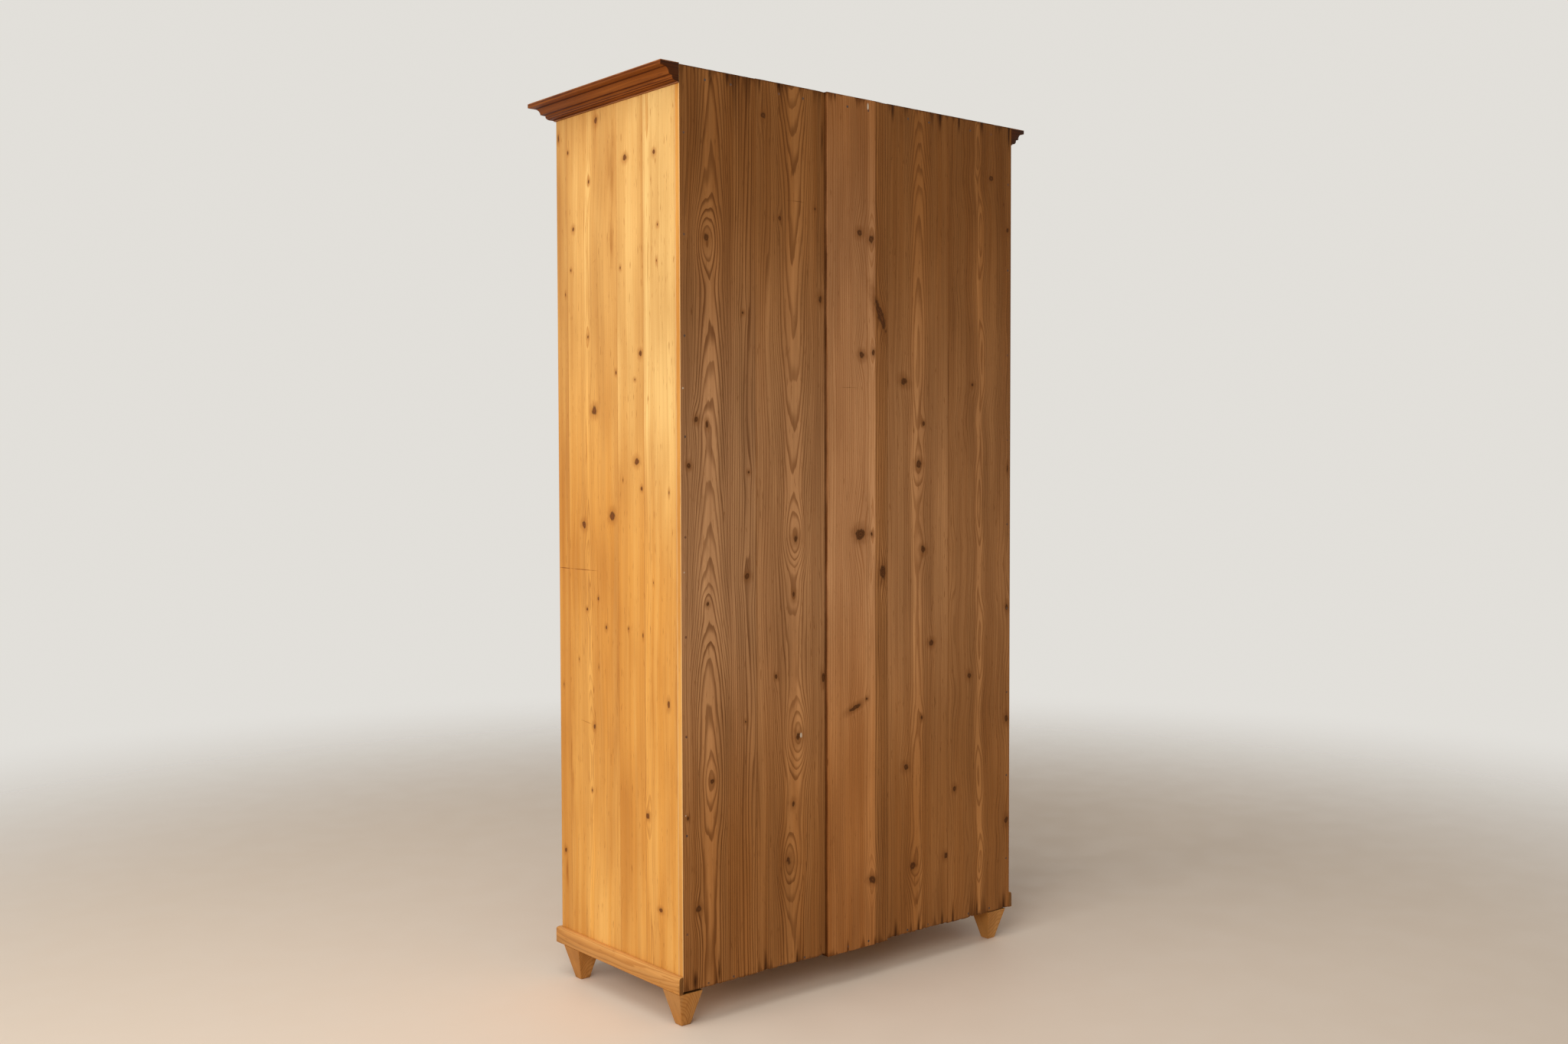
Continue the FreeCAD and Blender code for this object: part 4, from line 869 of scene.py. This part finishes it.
# The board with the bare edge at the corner of the side, and the thicker one in the middle.
CORNER_BOARD, CENTRE_BOARD = 1, 3
# How upright an edge is that counts as a seam, and how far to the side a face of the corner edge looks.
UPRIGHT = 0.99
CORNER_LOOK = 0.6
# How far the slope down from the centre board looks to the side, and the share of its colour left under
# painted shade.
SLOPE_LOOK = (-0.5, -0.03)
SLOPE_LIGHT = 0.78


def back_board(index):
    """Dresses one of the boards of the back."""
    node = f"back_board_{index}"
    sizes = bpy.context.scene.wardrobe_sizes
    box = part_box(node)
    mesh = merged_copy(node)
    outer = (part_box("back_board_1")[1].x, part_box("back_board_5")[0].x)
    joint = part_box("back_board_2")[0].x

    def is_seam(edge):
        upright = abs((edge.verts[0].co - edge.verts[1].co).normalized().z) > UPRIGHT
        return upright and all(abs(edge.verts[0].co.x - x) > MM for x in outer)

    def is_open(edge):
        return is_seam(edge) and abs(edge.verts[0].co.x - joint) < MM

    round_edges(mesh, [edge for edge in sharp_edges(mesh) if not is_seam(edge)], sizes.board_edge)
    round_edges(mesh, [edge for edge in sharp_edges(mesh) if is_open(edge)], sizes.open_joint)
    closed = [edge for edge in sharp_edges(mesh) if is_seam(edge) and not is_open(edge)]
    round_edges(mesh, closed, sizes.seam_edge)
    ragged_ends(mesh, box, index * 3.7)
    mesh.normal_update()

    figure, knots, stains = BACK_FIGURES[index], BACK_KNOTS[index], BACK_STAINS[index]
    *shade, dust, glow, contrast = BACK_SHADES[index]
    finish = finish_of(SLOT_OF[node])._replace(dust=dust, glow=glow, contrast=contrast)
    materials = [pine(f"Back pine {index}", finish, FACING_BACK, figure, box, knots, stains,
                      BACK_SPECKS.get(index, ()), shade, BACK_SHEEN.get(index, SHEEN_HEIGHTS))]
    if index == CORNER_BOARD:
        pale = bpy.context.scene.wardrobe_colours.pale_edge
        honey = finish_of("honey_pine")._replace(edge=pale, edge_reach=4.0, edge_share=0.7)
        plain = Figure(120, 60, ((70, 0.0), (1892, 1.0)), 2.0, 10, 5.1)
        materials.append(pine(f"Back edge {index}", honey, FACING_SIDE, plain, box))
    if index == CENTRE_BOARD:
        # The slope gets a copy of the centre board's pine that is darkened by painted shade, with less
        # painted sheen.
        dim = finish_of("aged_pine")._replace(dust=0.04)
        dimmed = (SLOPE_LIGHT * shade[0], SLOPE_LIGHT * shade[1], shade[2])
        materials.append(pine(f"Back bevel {index}", dim, FACING_BACK, figure, box, knots, stains, (),
                              dimmed))
    # The slope's faces take that shaded copy, and the corner board's edge faces take the honey pine.
    for face in mesh.faces:
        at_corner = index == CORNER_BOARD and face.normal.x > CORNER_LOOK
        on_slope = index == CENTRE_BOARD and SLOPE_LOOK[0] < face.normal.x < SLOPE_LOOK[1]
        face.material_index = int(at_corner or on_slope)
    return stand_for(node, mesh, materials)


class WARDROBE_OT_back(bpy.types.Operator):
    """Nails five worn boards over the back"""
    bl_idname = "wardrobe.back"
    bl_label = "Back boards"

    def execute(self, context):
        for index in BACK_FIGURES:
            back_board(index)
        return {"FINISHED"}


# Sides


# Figures, knots and stains of the boards on the side in the photograph.
SIDE_FIGURES = {
    "post_right": Figure(-260, 80, ((70, 0.0), (1000, 1.0), (1892, 0.0)), 1.8, 20, 61.0),
    "side_right_front_board": Figure(
        -86, 28, ((70, 0.0), (480, 1.0), (560, 0.0), (740, 3.0), (860, 2.0), (1000, 4.0), (1892, 4.6)),
        1.8, 40, 66.4, 0.003),
    "side_right_middle_board": Figure(190, 60, ((70, 0.0), (1000, 1.0), (1892, 0.0)), 2.0, 20, 71.9),
    "side_right_rear_board": Figure(133, 25, ((70, 0.0), (1000, 1.0), (1892, 0.0)), 2.0, 30, 78.3),
}
SIDE_KNOTS = {
    "post_right": [
        (-188, 277, 4.5), (-196, 1815, 4, 2.0, 0.2), (-172, 1480, 2.5, 2.4, 0.45),
        (-190, 640, 2.5, 2.4, 0.45),
    ],
    "side_right_front_board": [
        (-50, 1830, 5.5), (-160, 1780, 3.5), (-78, 1708, 4), (-140, 1615, 5, 1.3, 0.4),
        (-150, 1530, 3, 1.3, 0.4), (20, 1305, 4, 1.3, 0.45), (-85, 1385, 4, 1.3, 0.45),
        (-63, 1229, 8, 1.1, 0.0), (3, 1010, 9, 1.0, 0.05), (-105, 990, 7, 1.1, 0.0), (-52, 835, 3),
        (-95, 810, 3.5), (-22, 776, 4), (-70, 562, 4.5), (-80, 425, 3, 1.3, 0.3),
        (-52, 690, 2.2, 2.4, 0.45), (-128, 700, 2, 2.4, 0.45),
    ],
    "side_right_middle_board": [
        (57, 1737, 6, 1.0, 0.0), (38, 1517, 3, 1.6, 0.4), (108, 1339, 5), (88, 1288, 3, 1.2, 0.3),
        (93, 1123, 7, 1.0, 0.0), (110, 1068, 3.5), (60, 780, 3, 1.3, 0.4), (43, 1085, 2, 2.4, 0.45),
        (112, 770, 2.5, 2.4, 0.45),
    ],
    "side_right_rear_board": [
        (159, 1733, 4.5), (170, 1590, 3), (200, 640, 4, 2.0), (125, 405, 6, 1.0, 0.0),
        (170, 222, 6, 0.7, 0.05), (205, 1060, 2.5, 2.4, 0.45), (150, 880, 2, 2.4, 0.45),
        (166, 1520, 2.5, 2.4, 0.45),
    ],
}
SIDE_STAINS = {
    "side_right_front_board": [
        (6, 1720, 46, 6, 0.85), (4, 1560, 40, 5, 0.9), (16, 560, 30, 20, 0.98), (-162, 480, 34, 18, 0.9),
        (-110, 893, 52, 0.02, 0.1), (-100, 568, 34, 0.05, 0.5, 6), (-83, 862, 3, 4.5, 0.35),
        (-93, 1150, 7, 24, 0.75), (-98, 1640, 4, 80, 0.85), (-76, 735, 4, 8, 0.72), (-72, 640, 5, 4, 0.68),
        (-66, 590, 4, 7, 0.72), (-64, 428, 4, 7, 0.72), (-74, 822, 3, 8, 0.68),
        (-60, 1540, 22, 0.05, 0.7, -25),
    ],
    "post_right": [(-185, 893, 30, 0.03, 0.1), (-182, 230, 12, 9, 0.7)],
    "side_right_middle_board": [(117, 560, 8, 70, 0.9), (60, 775, 14, 3, 0.9)],
    "side_right_rear_board": [(135, 1500, 5, 60, 0.85), (140, 1800, 5, 18, 0.85), (226, 700, 16, 60, 0.9)],
}
# How far a side board's colour is darkened or lightened at its foot, in its middle and at its top, painted
# shade and light together with its own tone, how much painted sheen it has and from which height up.
SIDE_SHADES = {
    "post_right": (0.88, 0.86, 0.92, 0.28, 950),
    "side_right_front_board": (1.11, 1.00, 0.95, 0.24, 950),
    "side_right_middle_board": (1.11, 1.00, 0.94, 0.30, 850),
    "side_right_rear_board": (1.08, 1.00, 0.96, 0.42, 800),
}


# Height past the top, so that the painted sheen stays all the way up.
SHEEN_END = 2600.0


def right_side(node):
    """Dresses a board or the post of the side that the photograph shows."""
    mesh = merged_copy(node)
    round_edges(mesh, sharp_edges(mesh), bpy.context.scene.wardrobe_sizes.seam_edge)
    *shade, bleach, sheen_from = SIDE_SHADES[node]
    # The side's painted sheen is mixed in from its given height up.
    finish = finish_of(SLOT_OF[node])._replace(dust=bleach, edge_reach=1.5, contrast=0.40, glow=0.12)
    material = pine(f"Pine of {node}", finish, FACING_SIDE, SIDE_FIGURES[node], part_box(node),
                    SIDE_KNOTS[node], SIDE_STAINS[node], (), shade, (sheen_from, SHEEN_END))
    return stand_for(node, mesh, [material])


class WARDROBE_OT_sides(bpy.types.Operator):
    """Stands up the boards and posts of both sides"""
    bl_idname = "wardrobe.sides"
    bl_label = "Sides"

    def execute(self, context):
        for node in SIDE_FIGURES:
            right_side(node)
        left = [f"side_left_{part}_board" for part in ("front", "middle", "rear")]
        plain_boards(left, FACING_SIDE, 200)
        plain_board("post_left", FACING_SIDE, 210, shade=SIDE_SHADES["post_right"][:3])
        return {"FINISHED"}


# Mouldings and feet


# Shares at the foot, in the middle and at the top: the base moulding is a little darker, and the feet are
# darkened by painted shade.
BASE_SHADE = (0.95, 0.95, 1.0)
FOOT_SHADE = (0.75, 0.75, 1.0)
# A darker band on the cornice's top fillet, and dark lines of dirt and painted shade in its grooves: how far
# under its top, its half height and how pale.
DARK_FILLET = (4, 5.0, 0.48)
CORNICE_DARK_LINES = [DARK_FILLET] + [(drop, 1.0, 0.1) for drop in (11.5, 25.5, 30.5, 34.0, 36.5)]


class WARDROBE_OT_mouldings(bpy.types.Operator):
    """Fits the cornice, the base moulding and the blocks behind the cornice"""
    bl_idname = "wardrobe.mouldings"
    bl_label = "Mouldings"

    def execute(self, context):
        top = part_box("cornice_right")[1].z / MM
        # Dark lines along the cornice: its darker fillet, and dirt and painted shade in its grooves.
        dark_lines = [(top - drop, 0, half, FULL_LENGTH, faint) for drop, half, faint in CORNICE_DARK_LINES]
        tan = context.scene.wardrobe_colours.tan_light
        for seed, (side, grain) in enumerate((("front", RAIL), ("right", SIDE_RUN), ("left", SIDE_RUN))):
            plain_board(f"cornice_{side}", grain, 300 + seed, NO_KNOTS, True, dark_lines)
            plain_board(f"base_moulding_{side}", grain, 310 + seed, MOULDING_SPACING, True, shade=BASE_SHADE,
                        light=tan)
        plain_board("cornice_glue_blocks", RAIL, 330)
        return {"FINISHED"}


class WARDROBE_OT_feet(bpy.types.Operator):
    """Sets the four tapered feet"""
    bl_idname = "wardrobe.feet"
    bl_label = "Feet"

    def execute(self, context):
        tan = context.scene.wardrobe_colours.tan_light
        feet = [f"foot_{corner}" for corner in ("front_right", "front_left", "back_right", "back_left")]
        plain_boards(feet, FACING_BACK, 400, shade=FOOT_SHADE, light=tan)
        return {"FINISHED"}


# Carcass, front and door


class WARDROBE_OT_carcass(bpy.types.Operator):
    """Lays the top and bottom boards"""
    bl_idname = "wardrobe.carcass"
    bl_label = "Top and bottom"

    def execute(self, context):
        plain_boards(("top_board", "bottom_board"), LEVEL, 500)
        return {"FINISHED"}


class WARDROBE_OT_front(bpy.types.Operator):
    """Joins the frame and the fixed panels beside the door"""
    bl_idname = "wardrobe.front"
    bl_label = "Front frame"

    def execute(self, context):
        rails = ("front_top_rail", "front_bottom_rail", "flank_rail_right", "flank_rail_left")
        plain_boards(rails, RAIL, 600)
        plain_boards(("lock_jamb", "hinge_jamb"), FACING_BACK, 610)
        for seed, side in enumerate(("right", "left")):
            plain_board(f"flank_panel_lower_{side}", FACING_BACK, 620 + seed)
            plain_board(f"flank_panel_upper_{side}", FACING_BACK, 630 + seed)
        return {"FINISHED"}


class WARDROBE_OT_door(bpy.types.Operator):
    """Joins the door's stiles, rails and fielded panels"""
    bl_idname = "wardrobe.door"
    bl_label = "Door"

    def execute(self, context):
        upright = ("door_lock_stile", "door_hinge_stile", "door_lower_panel", "door_upper_panel")
        plain_boards(upright, FACING_BACK, 700)
        plain_boards(("door_bottom_rail", "door_lock_rail", "door_top_rail"), RAIL, 710)
        return {"FINISHED"}


class WARDROBE_OT_inside(bpy.types.Operator):
    """Puts in the hat shelf and the peg rail"""
    bl_idname = "wardrobe.inside"
    bl_label = "Shelf and pegs"

    def execute(self, context):
        plain_board("hat_shelf", LEVEL, 800)
        plain_boards(("shelf_cleat_right", "shelf_cleat_left"), SIDE_RUN, 810)
        plain_board("peg_rail", RAIL, 820)
        plain_board("coat_pegs", TURNED, 830, smooth=True)
        return {"FINISHED"}


# Fittings


def fitting(node, material):
    """Dresses a metal fitting with softened edges."""
    mesh = merged_copy(node)
    round_edges(mesh, sharp_edges(mesh), bpy.context.scene.wardrobe_sizes.metal_edge)
    return stand_for(node, mesh, [material], smooth=True)


class WARDROBE_OT_ironwork(bpy.types.Operator):
    """Fits the hinges, the lock, the strike plate, the screws and the nails"""
    bl_idname = "wardrobe.ironwork"
    bl_label = "Ironwork"

    def execute(self, context):
        tint = context.scene.wardrobe_colours
        iron = metal("Blackened iron", tint.iron, tint.rust, dullness=0.55, polish=0.42, seed=0.0)
        rusty = metal("Rusty nails", tint.iron, tint.rust, dullness=1.0, polish=0.55, seed=5.0)
        for node in ("hinge_frame_leaves", "hinge_door_leaves", "lock_case", "lock_bolt", "strike_plate"):
            fitting(node, iron)
        for node in ("hinge_frame_screws", "hinge_door_screws", "lock_screws", "back_nails"):
            frame["nodes"][node].data.materials.clear()
            frame["nodes"][node].data.materials.append(rusty)
        return {"FINISHED"}


# How far a pin sits from the escutcheon's end, in its radii, and how flat its dome is.
PIN_INSET = 2.2
PIN_FLATNESS = 0.55


def escutcheon_pins(material):
    """Two domed pins through the escutcheon, one above the keyhole and one below."""
    radius = bpy.context.scene.wardrobe_sizes.pin_head
    low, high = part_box("escutcheon")
    flatten = Matrix.Diagonal((1, PIN_FLATNESS, 1, 1))
    mesh = bmesh.new()
    for z in (low.z + PIN_INSET * radius, high.z - PIN_INSET * radius):
        place = Matrix.Translation(((low.x + high.x) / 2, low.y, z)) @ flatten
        bmesh.ops.create_uvsphere(mesh, u_segments=16, v_segments=10, radius=radius, matrix=place)
    return finished(mesh, "escutcheon_pins", "door", [material], smooth=True)


class WARDROBE_OT_brasswork(bpy.types.Operator):
    """Fits the escutcheon with its pins, and the key"""
    bl_idname = "wardrobe.brasswork"
    bl_label = "Brasswork"

    def execute(self, context):
        tint = context.scene.wardrobe_colours
        brass = metal("Aged brass", tint.brass, tint.tarnish, dullness=0.6, polish=0.30, seed=11.0)
        fitting("escutcheon", brass)
        fitting("key", brass)
        escutcheon_pins(brass)
        return {"FINISHED"}


# Stage


# Place in metres, turn and lens of the camera, fitted to the photograph.
CAMERA_PLACE = Vector((2.2718, 2.7243, 1.1214))
CAMERA_HEADING = math.radians(-129.7097)
CAMERA_TILT = math.radians(-2.2042)
CAMERA_ROLL = math.radians(-0.1381)
CAMERA_LENS = 35.996
SENSOR_WIDTH = 36.0
# Each lamp's place and the width of its disc. They all look at the middle of the wardrobe.
LAMPS = {
    "Window": (Vector((4.2, -0.3, 1.9)), 2.6),
    "Fill": (Vector((3.2, 2.5, 2.2)), 2.0),
    "Ceiling": (Vector((1.8, 0.6, 4.4)), 3.0),
}
AIM = Vector((0.0, 0.0, 0.9))
DAYLIGHT = (1.0, 0.98, 0.95)
# Share of the floor's reach that is whole, before it begins to fade, and the corners of its disc.
WHOLE_FLOOR = 0.35
FLOOR_CORNERS = 96


def seen_directly(wiring):
    """One where the camera looks, also in a mirror or through glass, and nothing for light that falls on the
    object."""
    path = wiring.add("ShaderNodeLightPath").outputs
    mirrored = wiring.plus(path["Is Glossy Ray"], path["Is Transmission Ray"])
    return wiring.math("MINIMUM", wiring.plus(path["Is Camera Ray"], mirrored), 1.0)


def floor_material(reach, tint):
    """A plain floor that fades into the background before the camera."""
    material, w, shader = fresh_material("Pale floor")
    place = w.add("ShaderNodeTexCoord").outputs["Object"]
    grain = w.add("ShaderNodeTexNoise", {"Vector": place, "Scale": 9.0, "Detail": 4.0}).outputs["Fac"]
    shader.inputs["Base Color"].default_value = rgba(tint)
    w.feed(shader.inputs["Roughness"], w.smooth(grain, 0.3, 0.7, 0.55, 0.7))
    distance = w.add("ShaderNodeVectorMath", {0: place}, operation="LENGTH").outputs["Value"]
    seen = w.times(w.smooth(distance, WHOLE_FLOOR * reach, reach), seen_directly(w))
    clear = w.add("ShaderNodeBsdfTransparent").outputs[0]
    blend = w.add("ShaderNodeMixShader", {0: seen, 1: shader.outputs[0], 2: clear}).outputs[0]
    w.feed(w.tree.nodes["Material Output"].inputs["Surface"], blend)
    return material


def soft_lamp(name, place, size, energy):
    """A round lamp that the camera doesn't see."""
    lamp = bpy.data.lights.new(name, "AREA")
    lamp.shape = "DISK"
    lamp.size = size
    lamp.energy = energy
    piece = bpy.data.objects.new(name, lamp)
    piece.location = place
    piece.rotation_mode = "QUATERNION"
    piece.rotation_quaternion = (AIM - place).to_track_quat("-Z", "Y")
    piece.visible_camera = False
    bpy.context.scene.collection.objects.link(piece)


def pale_world(strength, tint):
    """Even light from all round, with the backdrop's colour where the camera and metal see it."""
    world = bpy.data.worlds.new("Studio")
    world.use_nodes = True
    world.node_tree.nodes.clear()
    w = Wiring(world.node_tree)
    light = w.add("ShaderNodeBackground", {"Color": rgba(DAYLIGHT), "Strength": strength}).outputs[0]
    wall = w.add("ShaderNodeBackground", {"Color": rgba(tint), "Strength": 1.0}).outputs[0]
    both = w.add("ShaderNodeMixShader", {0: seen_directly(w), 1: light, 2: wall}).outputs[0]
    w.add("ShaderNodeOutputWorld", {"Surface": both})
    bpy.context.scene.world = world


def photo_camera():
    """Looks at the wardrobe as the photograph does."""
    camera = bpy.data.cameras.new("Photo camera")
    camera.lens = CAMERA_LENS
    camera.sensor_width = SENSOR_WIDTH
    piece = bpy.data.objects.new("Photo camera", camera)
    level = Euler((math.pi / 2 + CAMERA_TILT, 0, CAMERA_HEADING - math.pi / 2)).to_matrix()
    turn = level @ Matrix.Rotation(CAMERA_ROLL, 3, "Z")
    piece.matrix_world = Matrix.Translation(CAMERA_PLACE) @ turn.to_4x4()
    bpy.context.scene.collection.objects.link(piece)
    bpy.context.scene.camera = piece


class WARDROBE_OT_stage(bpy.types.Operator):
    """Sets up the floor, the soft light and the camera"""
    bl_idname = "wardrobe.stage"
    bl_label = "Stage"

    def execute(self, context):
        studio = context.scene.wardrobe_studio
        tint = context.scene.wardrobe_colours
        mesh = bmesh.new()
        bmesh.ops.create_circle(mesh, cap_ends=True, segments=FLOOR_CORNERS, radius=2 * studio.floor_reach)
        data = bpy.data.meshes.new("Floor")
        mesh.to_mesh(data)
        mesh.free()
        data.materials.append(floor_material(studio.floor_reach, tint.floor))
        floor = bpy.data.objects.new("Floor", data)
        context.scene.collection.objects.link(floor)
        pale_world(studio.sky, tint.backdrop)
        for name, (place, size) in LAMPS.items():
            soft_lamp(name, place, size, getattr(studio, name.lower()))
        photo_camera()
        context.scene.view_settings.view_transform = "Standard"
        return {"FINISHED"}


OPERATORS = (
    WARDROBE_OT_back,
    WARDROBE_OT_sides,
    WARDROBE_OT_mouldings,
    WARDROBE_OT_feet,
    WARDROBE_OT_carcass,
    WARDROBE_OT_front,
    WARDROBE_OT_door,
    WARDROBE_OT_inside,
    WARDROBE_OT_ironwork,
    WARDROBE_OT_brasswork,
    WARDROBE_OT_stage,
)


class WARDROBE_PT_panel(bpy.types.Panel):
    """Lists the wardrobe's pieces, sizes and colours"""
    bl_idname = "WARDROBE_PT_panel"
    bl_label = "Pine wardrobe"
    bl_space_type = "VIEW_3D"
    bl_region_type = "UI"
    bl_category = "Wardrobe"

    def draw(self, context):
        for operator in OPERATORS:
            self.layout.operator(operator.bl_idname)
        scene = context.scene
        for settings in (scene.wardrobe_sizes, scene.wardrobe_colours, scene.wardrobe_studio):
            box = self.layout.box()
            for name in settings.__annotations__:
                box.prop(settings, name)


CLASSES = (WardrobeSizes, WardrobeColours, WardrobeStudio, *OPERATORS, WARDROBE_PT_panel)


def register():
    for cls in CLASSES:
        bpy.utils.register_class(cls)
    bpy.types.Scene.wardrobe_sizes = bpy.props.PointerProperty(type=WardrobeSizes)
    bpy.types.Scene.wardrobe_colours = bpy.props.PointerProperty(type=WardrobeColours)
    bpy.types.Scene.wardrobe_studio = bpy.props.PointerProperty(type=WardrobeStudio)


def unregister():
    del bpy.types.Scene.wardrobe_studio
    del bpy.types.Scene.wardrobe_colours
    del bpy.types.Scene.wardrobe_sizes
    for cls in reversed(CLASSES):
        bpy.utils.unregister_class(cls)


def main():
    register()
    bpy.ops.wardrobe.back()
    bpy.ops.wardrobe.sides()
    bpy.ops.wardrobe.mouldings()
    bpy.ops.wardrobe.feet()
    bpy.ops.wardrobe.carcass()
    bpy.ops.wardrobe.front()
    bpy.ops.wardrobe.door()
    bpy.ops.wardrobe.inside()
    bpy.ops.wardrobe.ironwork()
    bpy.ops.wardrobe.brasswork()
    bpy.ops.wardrobe.stage()


if __name__ == "__main__":
    main()
